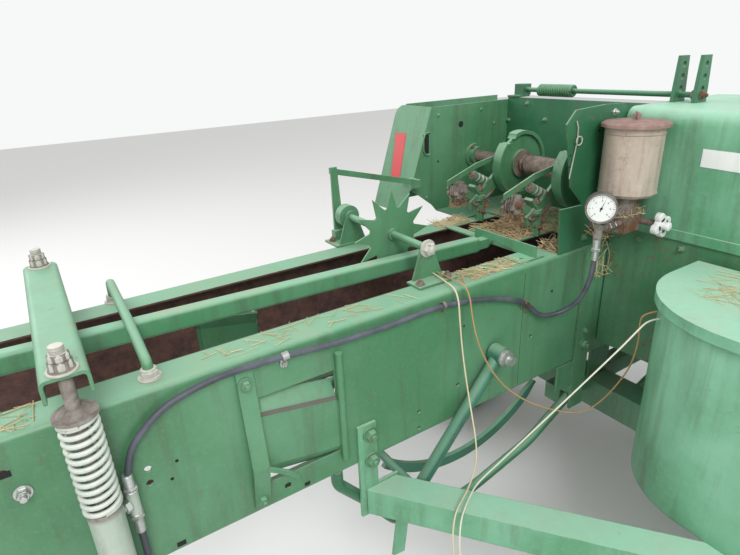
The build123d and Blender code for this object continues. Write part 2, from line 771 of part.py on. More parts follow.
def trough():
    """Trough under the auger, with its right end and the auger's bearing."""
    rear, front, low = housing_rear_x, lip_x, trough_floor
    wall = 4
    outer = [(rear, hood_low), (rear, low), (front, low), (front, low - wall), (rear - wall, low - wall),
             (rear - wall, hood_low)]
    shape = side_plate(outer, (housing_right_y, housing_left_y))
    end = side_plate([(rear, hood_low), (rear, low), (front, low), (front, hood_low)],
                     (housing_right_y, housing_right_y + 5))
    end -= bar((auger_x, housing_right_y - 1, auger_z), (auger_x, housing_right_y + 6, auger_z), 20 + running)
    left_rim = block((rear, feed_x[0] - 2), (housing_left_y - 5, housing_left_y), (low, hood_low))
    left_rim += block((rear, feed_x[0] - 2), (housing_left_y, -case_half), (case_top - 60, case_top))
    return shape + end + left_rim


def hood():
    """Hood over the auger, bent round at its top edges and closed at its ends, with a seam along its foot."""
    rear, front, low, top = housing_rear_x - 4, housing_front_x, hood_low, hood_top
    y = (housing_right_y, housing_left_y)
    wall = 4
    def form(inset, base):
        ends = (y[0] + inset, y[1] - inset)
        x0, x1, z1 = rear + inset, front - inset, top - inset
        corners = ((x0, ends[0], base), (x0, ends[0], z1), (x1, ends[0], z1), (x1, ends[0], base))
        face = make_face(Polyline(*corners, close=True))
        face = fillet([v for v in face.vertices() if v.Z > base + 1 and v.X < x0 + 1], hood_rear_bend - inset)
        face = fillet([v for v in face.vertices() if v.Z > z1 - 1 and v.X > x1 - 1], hood_front_bend - inset)
        return extrude(face, amount=ends[1] - ends[0], dir=(0, 1, 0))
    shape = form(0, low) - form(wall, low - 1)
    seam = block((rear - 6, rear), y, (low, low + 26))
    return shape + seam


def pickup_pivots():
    """Arms from the axle with the pins that the pickup swings on."""
    shapes = []
    for face, side in ((pickup_left_y, 1), (pickup_right_y, -1)):
        inner, outer = face + side * 6, face + side * 16
        y = sorted((inner, outer))
        rear = axle_x + axle_depth / 2
        x, z = pickup_pivot_x, pickup_pivot_z
        arm = side_plate([(rear, axle_low + 15), (rear, axle_high), (x - 22, z + 17), (x + 10, z + 22),
                          (x + 22, z), (x + 10, z - 35)], y)
        end = face - side * (end_plate - 0.5)
        pin = sorted((inner, end))
        shapes.append(arm + bar((x, pin[0], z), (x, pin[1], z), pickup_pin))
    return shapes


def pickup_frame():
    """Pickup ends, stripper bands and the bars behind them that join them."""
    left, right = pickup_left_y, pickup_right_y
    shape = None
    ends = [(670, 664), (682, 676), (860, 700), (1000, 690), (1170, 620), (1240, 470), (1200, 320), (1060, 220),
            (720, 215), (690, 250), (668, 640)]
    for y0 in (left - end_plate, right):
        plate = side_plate(ends, (y0, y0 + end_plate))
        x, z = pickup_pivot_x, pickup_pivot_z
        plate -= bar((x, y0 - 1, z), (x, y0 + end_plate + 1, z), pickup_pin + running)
        plate -= bar((reel_x, y0 - 1, reel_z), (reel_x, y0 + end_plate + 1, reel_z), 18 + running)
        shape = plate if shape is None else shape + plate
    bars = (((694, 714), (632, 656)), ((694, 714), (226, 250)))
    for x, z in bars:
        shape += block(x, (right + end_plate, left - end_plate), z)
    for index in range(band_count):
        y = band_first_y - index * band_pitch
        shape += band(y)
    return shape


def band(y):
    """One stripper band: a strip over the top, round the front and back underneath."""
    radius = band_radius
    def path(inset):
        r = radius - inset
        top, low = reel_z + r, reel_z - r
        return (
            Line((700, y, 656 - inset), (reel_x - 60, y, top))
            + ThreePointArc((reel_x - 60, y, top), (reel_x + r, y, reel_z), (reel_x - 60, y, low))
            + Line((reel_x - 60, y, low), (704, y, 226 + inset))
        )
    edges = path(0) + path(4)
    edges += Line((700, y, 656), (700, y, 652))
    edges += Line((704, y, 226), (704, y, 230))
    return extrude(make_face(edges), amount=band_width, dir=(0, -1, 0))


def tine_reel():
    """Reel of spring tines, bent from square wire, on four bars between end discs."""
    left, right = pickup_left_y - end_plate, pickup_right_y + end_plate
    centre = (reel_x, reel_z)
    shape = bar((reel_x, pickup_right_y - 12, reel_z), (reel_x, pickup_left_y + 12, reel_z), 18)
    for y in (left - reel_gap - 6, (left + right) / 2, right + reel_gap):
        shape += bar((reel_x, y, reel_z), (reel_x, y + 6, reel_z), reel_bar_radius + 16)
    for arm in range(4):
        angle = 45 + 90 * arm
        x, z = polar(centre, reel_bar_radius, angle)
        shape += bar((x, right + reel_gap, z), (x, left - reel_gap, z), 11)
        tip_x, tip_z = polar(centre, tine_radius, angle - 14)
        long, lean = math.hypot(tip_x - x, tip_z - z), math.degrees(math.atan2(tip_z - z, tip_x - x))
        for index in range(band_count - 1):
            y = band_first_y - band_width - (band_pitch - band_width) / 2 - index * band_pitch
            place = Pos((x + tip_x) / 2, y, (z + tip_z) / 2) * Rot(0, -lean, 0)
            shape += place * Box(long, tine, tine)
    return shape


def wind_guard():
    """Bar above the pickup with rods that hold the hay down."""
    left, right = pickup_left_y, pickup_right_y
    shape = bar((1180, right - 7, 860), (1180, left + 7, 860), 16)
    for y in (left, right - 7):
        shape += side_plate([(1166, 860), (1194, 860), (1150, 560), (1120, 560)], (y, y + 7))
    for index in range(10):
        y = left - 90 - index * 140
        shape += bar((1180, y, 860), (1060, y, 848), 6) + bar((1060, y, 848), (780, y, 772), 6)
    return shape


def crank_housing():
    """Rounded sheet housing over the crank at the front of the case."""
    def form(inset):
        x, z = housing_centre_x, housing_centre_z
        y = (-housing_half + inset, housing_half - inset)
        body = bar((x, y[0], z), (x, y[1], z), housing_radius - inset)
        body += block((case_front + inset, x), y, (549 + inset, 1152 - inset))
        return body + block((x, gearbox_x[0] - inset), y, (560 + inset, 1000 - inset))
    return form(0) - form(6)


def gearbox():
    """Main gearbox, a heavy block in front of the crank housing, with the flywheel's shaft."""
    shape = block(gearbox_x, (-140, 140), (600, 920))
    shape += bar((gearbox_x[1], 0, flywheel_z), (flywheel_x - 5, 0, flywheel_z), 60)
    shape += bar((gearbox_x[1], 0, flywheel_z), (flywheel_x + flywheel_width + 20, 0, flywheel_z), 24)
    return shape


def flywheel():
    """Heavy flywheel with a hollowed face and the yoke for the driveline."""
    x = flywheel_x
    shape = bar((x, 0, flywheel_z), (x + flywheel_width, 0, flywheel_z), flywheel_radius)
    shape -= pipe((x + 22, 0, flywheel_z), (x + flywheel_width + 1, 0, flywheel_z), flywheel_radius - 40, 62)
    shape += bar((x + flywheel_width, 0, flywheel_z), (x + 100, 0, flywheel_z), 45)
    shape -= bar((x - 1, 0, flywheel_z), (x + flywheel_width + 21, 0, flywheel_z), 24 + running)
    return shape


def front_frame():
    """Cross frame under the crank housing that carries the tongue's pivot."""
    x = tongue_pivot_x
    shape = block((1180, 1240), (-220, 220), (440, 520))
    for y in (-housing_half - 30, housing_half):
        shape += block((1240, x - 90), (y, y + 30), (440, 620))
    shape += block((x - 90, x - 78), (-housing_half - 30, housing_half + 30), (tongue_low - 12, 590))
    shape += block((x - 78, x + 40), (-100, 100), (tongue_high + 12, tongue_high + 24))
    shape += block((x - 78, x + 40), (-100, 100), (tongue_low - 12, tongue_low - seat))
    shape += bar((x, 0, tongue_low - 20), (x, 0, tongue_high + 36), 19)
    return shape


def tongue():
    """Box beam from the pivot to the hitch, with the jack's sleeve and the driveline's stand."""
    half = tongue_width / 2
    shape = block((tongue_pivot_x, hitch_x - 120), (-half, half), (tongue_low, tongue_high))
    shape += bar((tongue_pivot_x, 0, tongue_low), (tongue_pivot_x, 0, tongue_high), half)
    inside = (tongue_low + 6, tongue_high - 6)
    shape -= block((tongue_pivot_x + 80, hitch_x - 126), (-half + 6, half - 6), inside)
    shape -= bar((tongue_pivot_x, 0, tongue_low - 1), (tongue_pivot_x, 0, tongue_high + 1), 19 + running)
    shape += block((jack_x - 30, jack_x + 30), (half, jack_y), (tongue_low, tongue_high))
    sleeve = pipe((jack_x, jack_y, 300), (jack_x, jack_y, 700), jack_leg + 9, jack_leg + running)
    shape -= bar((jack_x, jack_y, 200), (jack_x, jack_y, 720), jack_leg + 9)
    return shape + sleeve + driveline_stand()


def hitch():
    """Clevis at the tongue's end with a bore for the drawbar pin."""
    shape = block((hitch_x - 120, hitch_x), (-40, 40), (tongue_low, tongue_high))
    shape += bar((hitch_x, 0, tongue_low), (hitch_x, 0, tongue_high), 40)
    shape -= block((hitch_x - 60, hitch_x + 60), (-60, 60), (tongue_low + 22, tongue_high - 22))
    shape -= bar((hitch_x, 0, tongue_low - 1), (hitch_x, 0, tongue_high + 1), hitch_bore)
    return shape


def jack():
    """Jack leg with its foot on the ground."""
    shape = bar((jack_x, jack_y, 10), (jack_x, jack_y, 690), jack_leg)
    shape += bar((jack_x, jack_y, 0), (jack_x, jack_y, 10), 90)
    return shape


def driveline():
    """Telescoping drive shaft in its guard, resting in a stand on the tongue."""
    start = (driveline_rear_x, 0, flywheel_z - 5)
    end = (driveline_front_x, 0, driveline_front_z)
    along = Vector(*end) - Vector(*start)
    def on(share):
        point = Vector(*start) + along * share
        return (point.X, point.Y, point.Z)
    shape = bar(on(0.10), on(0.52), 38) + bar(on(0.52), on(0.90), 33)
    shape += bar(on(0), on(0.10), 30) + bar(on(0.90), on(1), 28)
    return shape


def driveline_stand():
    """Forked stand on the tongue for the driveline."""
    x = 2920
    share = (x - driveline_rear_x) / (driveline_front_x - driveline_rear_x)
    z = flywheel_z - 5 + share * (driveline_front_z - flywheel_z + 5)
    shape = block((x - 6, x + 6), (-50, 50), (tongue_high, z + 20))
    slope = (driveline_front_z - flywheel_z + 5) / (driveline_front_x - driveline_rear_x)
    cradle = bar((x - 20, 0, z - 20 * slope), (x + 20, 0, z + 20 * slope), 33 + seat)
    return shape - cradle - block((x - 20, x + 20), (-33 - seat, 33 + seat), (z, z + 60))


def box_outline(out, front, z):
    """Plan of the twine box, grown by out, with its large rounded rear corners."""
    x0, y0, y1 = box_rear_x - out, box_right_y - out, box_left_y + out
    plan = make_face(Polyline((x0, y0, z), (front, y0, z), (front, y1, z), (x0, y1, z), close=True))
    corners = [v for v in plan.vertices() if v.X < x0 + 1]
    return fillet(corners, box_corner + out)


def twine_box():
    """Open box for the twine balls, with its brackets and the fixed half of the lid's hinge."""
    shape = extrude(box_outline(0, box_front_x, box_low), amount=box_high - box_low, dir=(0, 0, 1))
    hollow = box_outline(-box_wall, box_front_x - box_wall, box_low + box_wall)
    shape -= extrude(hollow, amount=box_high, dir=(0, 0, 1))
    for y in (-640, -1240):
        shape += block((box_front_x, housing_rear_x - 4), (y, y + 60), (860, 900))
    shape += bar((hinge_x, box_right_y + 20, hinge_z), (hinge_x, box_left_y - 20, hinge_z), hinge_pin)
    for y in (box_right_y + 20, (box_left_y + box_right_y) / 2 - 15, box_left_y - 50):
        shape += block((box_front_x, hinge_x), (y, y + 30), (hinge_z - 10, hinge_z))
    return shape


def twine_lid():
    """Lid with a turned-down rim on three sides and knuckles around the hinge pin."""
    low = lid_top - lid_drop
    shape = extrude(box_outline(lid_over, box_front_x, low), amount=lid_drop, dir=(0, 0, 1))
    inside = box_outline(lid_over - 4, box_front_x + 1, low - 1)
    shape -= extrude(inside, amount=lid_drop - lid_sheet + 1, dir=(0, 0, 1))
    third = (box_left_y - box_right_y) / 4
    for y in (box_right_y + third - 40, box_left_y - third - 40):
        shape += block((box_front_x - 20, hinge_x), (y, y + 80), (lid_top - lid_sheet, lid_top))
        shape += bar((hinge_x, y, hinge_z), (hinge_x, y + 80, hinge_z), hinge_knuckle)
        shape += block((hinge_x - hinge_knuckle, hinge_x), (y, y + 80), (hinge_z, lid_top))
        shape -= bar((hinge_x, y - 1, hinge_z), (hinge_x, y + 81, hinge_z), hinge_pin + running)
    return shape


def pump():
    """Pump body on the right shield with its neck, valve handle and the tee for gauge and hose."""
    x, y = pump_x, pump_y
    shape = block((x - 34, x + 36), (y - 30, y + 30), (pump_low, pump_low + 44))
    shape += bar((x, y, pump_low + 40), (x, y, can_low), 34)
    shape += block((x - 26, x + 26), (y + 25, -case_half), (pump_low - 8, pump_low + 60))
    # Valve with its four-lobed handle
    valve_x, valve_z = x + 40, pump_low + 24
    shape += bar((x + 20, y - 10, valve_z), (valve_x, y - 10, valve_z), 14)
    shape += bar((valve_x, y, valve_z), (valve_x, y - 78, valve_z), 9)
    shape += bar((valve_x, y - 78, valve_z), (valve_x, y - 92, valve_z), 20)
    for quarter in range(4):
        px, pz = polar((valve_x, valve_z), 23, 20 + 90 * quarter)
        shape += bar((px, y - 78, pz), (px, y - 92, pz), 12)
    # Pipe to the tee under the gauge
    shape += bar((gauge_x, gauge_y, gauge_tee_z), (x - 20, gauge_y, gauge_tee_z), 8)
    shape += bar((gauge_x + 30, gauge_y, gauge_tee_z), (gauge_x + 52, gauge_y, gauge_tee_z), 12)
    shape += bar((gauge_x, gauge_y, gauge_tee_z - 26), (gauge_x, gauge_y, gauge_tee_z + 12), 11)
    return shape


def reservoir():
    """Fluid can over the pump, with a rolled lid held by a wing nut."""
    high = can_high
    profile = [
        (0, can_low), (can_radius - 7, can_low), (can_radius, can_low + 7), (can_radius, high),
        (lid_radius, high), (lid_radius, high + 8), (lid_radius - 7, high + 12), (lid_radius - 22, high + 13),
        (10, high + 17), (10, high + 30), (0, high + 30),
    ]
    can = revolve(make_face(Polyline(*[(r, 0, z) for r, z in profile], close=True)), axis=Axis.Z)
    wing = Pos(0, 0, high + 27) * Rot(0, 0, 40) * Box(40, 4, 14)
    return Pos(pump_x, pump_y, 0) * (can + wing)


def gauge():
    """Pressure gauge on its stem, with its dial turned to the rear and right inside a raised rim."""
    y, z = gauge_y, gauge_z
    back, front = (gauge_x + 10, y + 8, z), (gauge_x - 12, y - 9, z)
    rim_edge = (gauge_x - 15, y - 11.3, z)
    shape = bar(back, front, gauge_radius) + pipe(back, rim_edge, gauge_radius + 3, gauge_radius - 1)
    return shape + bar((gauge_x, y, gauge_tee_z + 12), (gauge_x, y, z - 30), 9)


def rounded_tube(points, radius):
    """A tube along a route, with each arc as large as its two runs allow."""
    arcs = []
    for before, corner, after in zip(points, points[1:], points[2:]):
        into, out = Vector(*corner) - Vector(*before), Vector(*after) - Vector(*corner)
        turn = math.radians(into.get_angle(out))
        arcs.append(0.45 * min(into.length, out.length) / math.tan(turn / 2))
    print("smallest arc in diameters:", round(min(arcs) / (2 * radius), 1), "points:", len(points))
    return bent_bar(points, radius, arcs)


def hose():
    """Pressure hose clipped along the case from the gauge to the cylinder's tee."""
    y = hose_y
    points = [
        (gauge_x, gauge_y, gauge_tee_z - 26), (gauge_x, gauge_y, 1035), (gauge_x - 3, gauge_y + 5, 972),
        (-200, -310, 912), (-222, -274, 868), (-290, -254, 866), (-352, y, 930), (-452, y, 968), (-560, y, 992),
        (-660, y, 1003), (-800, y, 998), (-950, y, 1001), (-1080, y, 1014), (-1200, y, 1016), (-1300, y, 992),
        (-1362, y, 935), (tee_x, -tee_y, 880), (tee_x, -tee_y, port_z + tee_half),
    ]
    return rounded_tube(points, hose_radius)


def cross_hose():
    """Hose from the right cylinder's tee under the case to the left one's."""
    low, turn = lower_channel_top - 60, 60
    points = [
        (tee_x, -tee_y, port_z - tee_half), (tee_x, -tee_y, low), (tee_x, tee_y, low),
        (tee_x, tee_y, port_z - tee_half),
    ]
    return bent_bar(points, hose_radius, [turn, turn])


def float_spring():
    """Levers, rod and coil spring that carry the pickup's weight."""
    shape = None
    top, z = 1527, 1424
    for y in (-330, -270):
        lever = side_plate([(175, hood_top), (235, hood_top), (225, top), (185, top)], (y, y + 10))
        for hole_z in (1440, 1472, 1504):
            lever -= bar((205, y - 1, hole_z), (205, y + 11, hole_z), 8)
        shape = lever if shape is None else shape + lever
    shape += bar((205, -322, z), (205, 330, z), 8)
    # The spring's outer form; its turns lie close on each other
    shape += bar((205, 88, z), (205, 228, z), 18)
    shape += block((185, 225), (288, 330), (hood_top + 1, z + 20))
    shape += block((160, 220), (288, left_shield_y - sheet), (shield_top, hood_top + 1))
    return shape


def twine(points):
    """A loose length of twine."""
    return rounded_tube(points, twine_radius)


# Twine routes: from the counter's right bracket over the flange, and from the twine box
twine_long_route = [
    (-588, -145.5, 1040), (-592, -176, 1039), (-597, -205, 1038), (-602, -232, 1039), (-606, -253, 1034),
    (-607, -266, 1010), (-606, -269, 972), (-603, -272, 924), (-601, -278, 872), (-603, -292, 820),
    (-607, -310, 768), (-609, -328, 714), (-612, -346, 662), (-622, -364, 616), (-650, -381, 588),
    (-684, -399, 575), (-718, -415, 573), (-748, -430, 572), (-768, -443, 552), (-772, -447, 512),
    (-770, -448, 466), (-772, -450, 420),
]
twine_slack_route = [
    (-576, -145.5, 1040), (-574, -178, 1039), (-574, -206, 1038), (-574, -232, 1039), (-573, -253, 1034),
    (-571, -266, 1010), (-566, -269, 966), (-557, -273, 914), (-542, -280, 860), (-518, -289, 806),
    (-485, -300, 752), (-440, -314, 702), (-387, -330, 660), (-331, -347, 628), (-284, -366, 608),
    (-250, -389, 606), (-228, -414, 632), (-216, -440, 678), (-210, -464, 732), (-212, -486, 788),
    (-224, -502, 846), (-240, -512, 900), (-257, -517, 946), (-265, -527, 976), (-251.6, -550.2, 986),
]
twine_tight_route = [
    (-289.7, -578, 990), (-304, -562, 986), (-330, -554, 962), (-366, -540, 920), (-600, -426, 642),
    (-634, -409, 603), (-664, -404, 580), (-696, -418, 573), (-722, -433, 573), (-744, -445, 564),
    (-756, -453, 540), (-760, -457, 500), (-758, -459, 456), (-752, -459, 416),
]


def drive_shield():
    """Long sheet cover over the knotter's drive, from the gearbox to the left shield."""
    y, z = (drive_cover_y, drive_cover_y + 80), (case_top + 8, case_top + 93)
    x = (320, 1700)
    wall = 4
    shape = block(x, y, z)
    shape -= block((x[0] + wall, x[1] - wall), (y[0] + wall, y[1] - wall), (z[0] - 1, z[1] - wall))
    for foot in (x[0] + 100, x[1] - 640):
        shape += block((foot, foot + 40), (case_half - 39, y[1]), (case_top, z[0]))
    return shape


nodes = {
    "case_side_right": case_side(-1),
    "case_side_left": case_side(1),
    "case_floor": case_floor(),
    "case_deck": deck(),
    "centre_rail": centre_rail(),
    "tension_channels": [upper_channel(), lower_channel()],
    "tension_cylinders": tension_cylinders(),
    "tension_springs": tension_springs(),
    "cross_rod": cross_rod(),
    "hay_resistors": resistor_straps() + hay_resistors(),
    "counter_stand": counter_bracket() + [trip_linkage()],
    "counter_wheel": counter_wheel(),
    "knotter_shaft": knotter_shaft_assembly(),
    "knotter_frames": knotter_frames(),
    "right_shield": right_shield(),
    "left_shield": left_shield() + rear_panel(),
    "front_shield": front_shield(),
    "brace": brace(),
    "needle_guard": needle_guard(),
    "needle_yoke": needle_yoke(),
    "needle_pivots": needle_pivots(),
    "plunger": plunger(),
    "axle": axle(),
    "main_frame": frame_posts() + [front_frame()],
    "auger": auger(),
    "trough": trough(),
    "hood": hood(),
    "pickup_pivots": pickup_pivots(),
    "pickup_frame": pickup_frame(),
    "tine_reel": tine_reel(),
    "wind_guard": wind_guard(),
    "crank_housing": crank_housing(),
    "gearbox": gearbox(),
    "flywheel": flywheel(),
    "tongue": tongue(),
    "hitch_clevis": hitch(),
    "jack": jack(),
    "driveline": driveline(),
    "twine_box": twine_box(),
    "twine_lid": twine_lid(),
    "tension_pump": pump(),
    "fluid_can": reservoir(),
    "pressure_gauge": gauge(),
    "pressure_hose": [hose(), cross_hose()],
    "twine_long": twine(twine_long_route),
    "twine_slack": twine(twine_slack_route),
    "twine_tight": twine(twine_tight_route),
    "float_spring": float_spring(),
    "drive_shield": drive_shield(),
}
for name, y, width, side in (
    ("left", left_tyre_y, left_tyre_width, 1),
    ("right", right_tyre_y, right_tyre_width, -1),
):
    nodes[name + "_tyre"], nodes[name + "_rim"] = wheel(y, width, side)

# One compound per node, then the move to the origin under the machine's middle
solids = {}
for name, shape in nodes.items():
    pieces = shape if isinstance(shape, list) else [shape]
    solids[name] = Compound(children=[s for piece in pieces for s in piece.solids()])
lows = [min(getattr(s.bounding_box().min, axis) for s in solids.values()) for axis in "XYZ"]
highs = [max(getattr(s.bounding_box().max, axis) for s in solids.values()) for axis in "XYZ"]
origin = ((lows[0] + highs[0]) / 2, (lows[1] + highs[1]) / 2, lows[2])
print("origin of the part in the working frame:", [round(v, 3) for v in origin])
print("size:", [round(h - l, 1) for l, h in zip(lows, highs)])

os.makedirs("parts", exist_ok=True)
for name, shape in solids.items():
    moved = Pos(-origin[0], -origin[1], -origin[2]) * shape
    export_step(moved, f"parts/{name}.step")
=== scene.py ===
import math

import bmesh
import bpy
import numpy as np
from mathutils import Matrix, Vector


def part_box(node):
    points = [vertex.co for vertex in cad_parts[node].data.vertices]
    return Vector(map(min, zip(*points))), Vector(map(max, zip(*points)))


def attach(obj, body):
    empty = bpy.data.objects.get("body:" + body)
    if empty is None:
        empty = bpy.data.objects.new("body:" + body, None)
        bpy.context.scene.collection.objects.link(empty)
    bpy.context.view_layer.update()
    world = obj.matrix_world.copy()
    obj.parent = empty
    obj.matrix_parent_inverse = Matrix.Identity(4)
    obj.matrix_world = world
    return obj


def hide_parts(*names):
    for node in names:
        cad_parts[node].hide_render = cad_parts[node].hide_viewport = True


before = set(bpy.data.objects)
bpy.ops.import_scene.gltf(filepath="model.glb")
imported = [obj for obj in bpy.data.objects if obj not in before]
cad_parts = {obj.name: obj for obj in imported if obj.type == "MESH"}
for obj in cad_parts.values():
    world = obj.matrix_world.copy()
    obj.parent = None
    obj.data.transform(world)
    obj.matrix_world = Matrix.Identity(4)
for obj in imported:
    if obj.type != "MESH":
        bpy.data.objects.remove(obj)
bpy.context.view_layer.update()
mm = 0.001

# The machine's own lines in the shared frame, read from the nodes' boxes
shaftX = sum(corner.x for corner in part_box("knotter_shaft")) / 2
centreY = (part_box("case_side_right")[0].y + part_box("case_side_left")[1].y) / 2
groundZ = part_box("left_tyre")[0].z


# A point from the machine's own lines: x ahead of the knotter shaft, y left of the case's centre, mm
def place(x, y, z):
    return Vector((shaftX + x * mm, centreY + y * mm, groundZ + z * mm))


# Rows of x, y, z in the machine's own lines, as an array in metres
def placeAll(points):
    return np.asarray(points, float) * mm + np.array([shaftX, centreY, groundZ])


# Meshes from arrays

# Faces of a grid of rows by columns: its columns join round, and its rows too where it is closed
def gridQuads(rows, columns, closed=False):
    r, c = np.meshgrid(np.arange(rows if closed else rows - 1), np.arange(columns), indexing="ij")
    nextRow, nextColumn = (r + 1) % rows, (c + 1) % columns
    corners = [(r, c), (r, nextColumn), (nextRow, nextColumn), (nextRow, c)]
    return np.stack([row * columns + column for row, column in corners], -1).reshape(-1, 4).tolist()


# Side and up vectors along a path, turned as little as possible from point to point
def frameAlong(path):
    tangent = np.gradient(path, axis=0)
    tangent /= np.linalg.norm(tangent, axis=1)[:, None]
    start = np.array([0, 0, 1.0]) if abs(tangent[0][2]) < 0.9 else np.array([1.0, 0, 0])
    side = np.cross(tangent[0], start)
    sides = [side / np.linalg.norm(side)]
    for t in tangent[1:]:
        side = sides[-1] - t * np.dot(sides[-1], t)
        sides.append(side / np.linalg.norm(side))
    return np.array(sides), np.cross(sides, tangent)


# A round tube: point = path + radius * (side cos a + up sin a), with one face closing each end
def tubeArrays(path, radius, around=12):
    path = np.asarray(path, float)
    side, up = frameAlong(path)
    angle = np.linspace(0, 2 * np.pi, around, endpoint=False)
    radius = np.broadcast_to(np.asarray(radius, float), len(path))
    ring = side[:, None] * np.cos(angle)[:, None] + up[:, None] * np.sin(angle)[:, None]
    points = (path[:, None] + ring * radius[:, None, None]).reshape(-1, 3)
    last = (len(path) - 1) * around
    ends = [list(range(around)), list(range(last, last + around))[::-1]]
    return points, [quad[::-1] for quad in gridQuads(len(path), around)] + ends


# The unit axis, and the unit circle round it: side cos a + (axis x side) sin a at each angle
def circleRound(axis, angle):
    axis = np.asarray(axis, float) / np.linalg.norm(axis)
    side = np.cross([0, 0, 1.0] if abs(axis[2]) < 0.9 else [1.0, 0, 0], axis)
    side /= np.linalg.norm(side)
    return axis, side * np.cos(angle)[:, None] + np.cross(axis, side) * np.sin(angle)[:, None]


# A revolved form: point = foot + axis * h + circle * r, with one face closing each end
def turned(profile, foot, axis, around=24):
    axis, ring = circleRound(axis, np.arange(around) / around * 2 * np.pi)
    height, radius = np.asarray(profile, float).T
    points = (np.asarray(foot, float) + axis * height[:, None])[:, None] + ring * radius[:, None, None]
    last = (len(height) - 1) * around
    ends = [list(range(around))[::-1], list(range(last, last + around))]
    return points.reshape(-1, 3), gridQuads(len(height), around) + ends


# A revolved ring: the closed profile of h and r carried round the axis, with no ends
def ringForm(profile, foot, axis, around=24):
    return turned(profile, foot, axis, around)[0], gridQuads(len(profile), around, closed=True)


# A point on a circle in the plane of x and z: x + r cos a, y, z + r sin a
def onCircle(centre, radius, angle):
    x, y, z = centre
    return x + radius * math.cos(angle), y, z + radius * math.sin(angle)


# A flat form: point = foot + across * a + up * b, and the same moved by depth along across x up
def extruded(outline, foot, across, up, depth):
    across, up = np.asarray(across, float), np.asarray(up, float)
    a, b = np.asarray(outline, float).T
    base = np.asarray(foot, float) + across * a[:, None] + up * b[:, None]
    count = len(base)
    points = np.concatenate([base, base + np.cross(across, up) * depth])
    index = np.arange(count)
    walls = np.stack([index, np.roll(index, -1), np.roll(index, -1) + count, index + count], -1)
    return points, walls.tolist() + [index[::-1].tolist(), (index + count).tolist()]


# A helix: point = foot + axis * length * s + circle * radius; flat turns at each end don't rise
def helixPath(foot, axis, radius, length, turns, perTurn=20, flat=0.0):
    s = np.linspace(0, 1, int(turns * perTurn) + 1)
    rise = np.clip((s * turns - flat) / (turns - 2 * flat), 0, 1) if flat else s
    axis, ring = circleRound(axis, 2 * np.pi * turns * s)
    return np.asarray(foot, float) + axis * (length * rise)[:, None] + ring * radius


def addObject(name, data):
    made = bpy.data.objects.new(name, data)
    bpy.context.scene.collection.objects.link(made)
    return made


# The parts, each its points in the machine's mm and its faces, as one mesh with its sharp edges kept
def piece(name, parts, finishName, body="chassis", sharp=30):
    faces, offset = [], 0
    for points, quads in parts:
        faces += [[i + offset for i in quad] for quad in quads]
        offset += len(points)
    data = bpy.data.meshes.new(name)
    data.from_pydata(placeAll(np.concatenate([points for points, quads in parts])).tolist(), [], faces)
    data.update()
    data.polygons.foreach_set("use_smooth", [True] * len(data.polygons))
    data.set_sharp_from_angle(angle=math.radians(sharp))
    data.materials.append(finish[finishName])
    made = addObject(name, data)
    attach(made, body)
    return made


# Materials

# Each input is linked where its item is an output, and set where it is a number or a colour
def feed(tree, target, inputs):
    for key, item in inputs.items():
        if isinstance(item, bpy.types.NodeSocket):
            tree.links.new(item, target.inputs[key])
        else:
            target.inputs[key].default_value = item


def node(tree, kind, inputs={}, **settings):
    made = tree.nodes.new("ShaderNode" + kind)
    for key, value in settings.items():
        setattr(made, key, value)
    feed(tree, made, inputs)
    return made


def nodeTree(name):
    material = bpy.data.materials.new(name)
    material.use_nodes = True
    tree = material.node_tree
    tree.nodes.clear()
    shader = node(tree, "BsdfPrincipled")
    node(tree, "OutputMaterial", {"Surface": shader.outputs["BSDF"]})
    return material, tree, shader


def objectPlace(tree):
    return node(tree, "TexCoord").outputs["Object"]


def surfaceNormal(tree):
    return node(tree, "NewGeometry").outputs["Normal"]


# The normal with the surface's edges rounded
def roundedNormal(tree, radius):
    return node(tree, "Bevel", {"Radius": radius}, samples=4).outputs["Normal"]


# X, Y or Z of a vector
def component(tree, vector, axis):
    return node(tree, "SeparateXYZ", {"Vector": vector}).outputs[axis]


# A noise value on Object coordinates
def noise(tree, scale, detail, rough, stretch=(1, 1, 1)):
    where = node(tree, "Mapping", {"Scale": stretch, "Vector": objectPlace(tree)}).outputs["Vector"]
    grain = {"Scale": scale, "Detail": detail, "Roughness": rough, "Vector": where}
    return node(tree, "TexNoise", grain).outputs["Fac"]


# The value taken from low..high to bottom..top, and held outside
def band(tree, value, low, high, bottom=0.0, top=1.0):
    ends = {"From Min": low, "From Max": high, "To Min": bottom, "To Max": top}
    return node(tree, "MapRange", {"Value": value, **ends}).outputs["Result"]


# Two values, or a value and a number, put together by a maths operation and held in 0 to 1
def combine(tree, operation, first, second):
    return node(tree, "Math", {0: first, 1: second}, operation=operation, use_clamp=True).outputs[0]


def times(tree, first, second):
    return combine(tree, "MULTIPLY", first, second)


# A colour from first to second by share; each is an output or a colour
def tint(tree, share, first, second):
    mix = node(tree, "Mix", {"Factor": share}, data_type="RGBA")
    for name, item in (("A", first), ("B", second)):
        index = [i for i, s in enumerate(mix.inputs) if s.name == name and s.type == "RGBA"][0]
        feed(tree, mix, {index: (*item, 1) if isinstance(item, tuple) else item})
    return [o for o in mix.outputs if o.type == "RGBA"][0]


# Where the surface turns over an edge, 0 to 1: rounded normal . normal falls below 1 there
def rim(tree, radius):
    normals = {0: roundedNormal(tree, radius), 1: surfaceNormal(tree)}
    dot = node(tree, "VectorMath", normals, operation="DOT_PRODUCT")
    return band(tree, dot.outputs["Value"], 0.99, 0.86)


# Bump on the shader's normal, over rounded edges where a radius is given
def bump(tree, shader, height, distance, strength, radius=0.0):
    made = node(tree, "Bump", {"Distance": distance, "Strength": strength, "Height": height})
    if radius:
        feed(tree, made, {"Normal": roundedNormal(tree, radius)})
    feed(tree, shader, {"Normal": made.outputs["Normal"]})


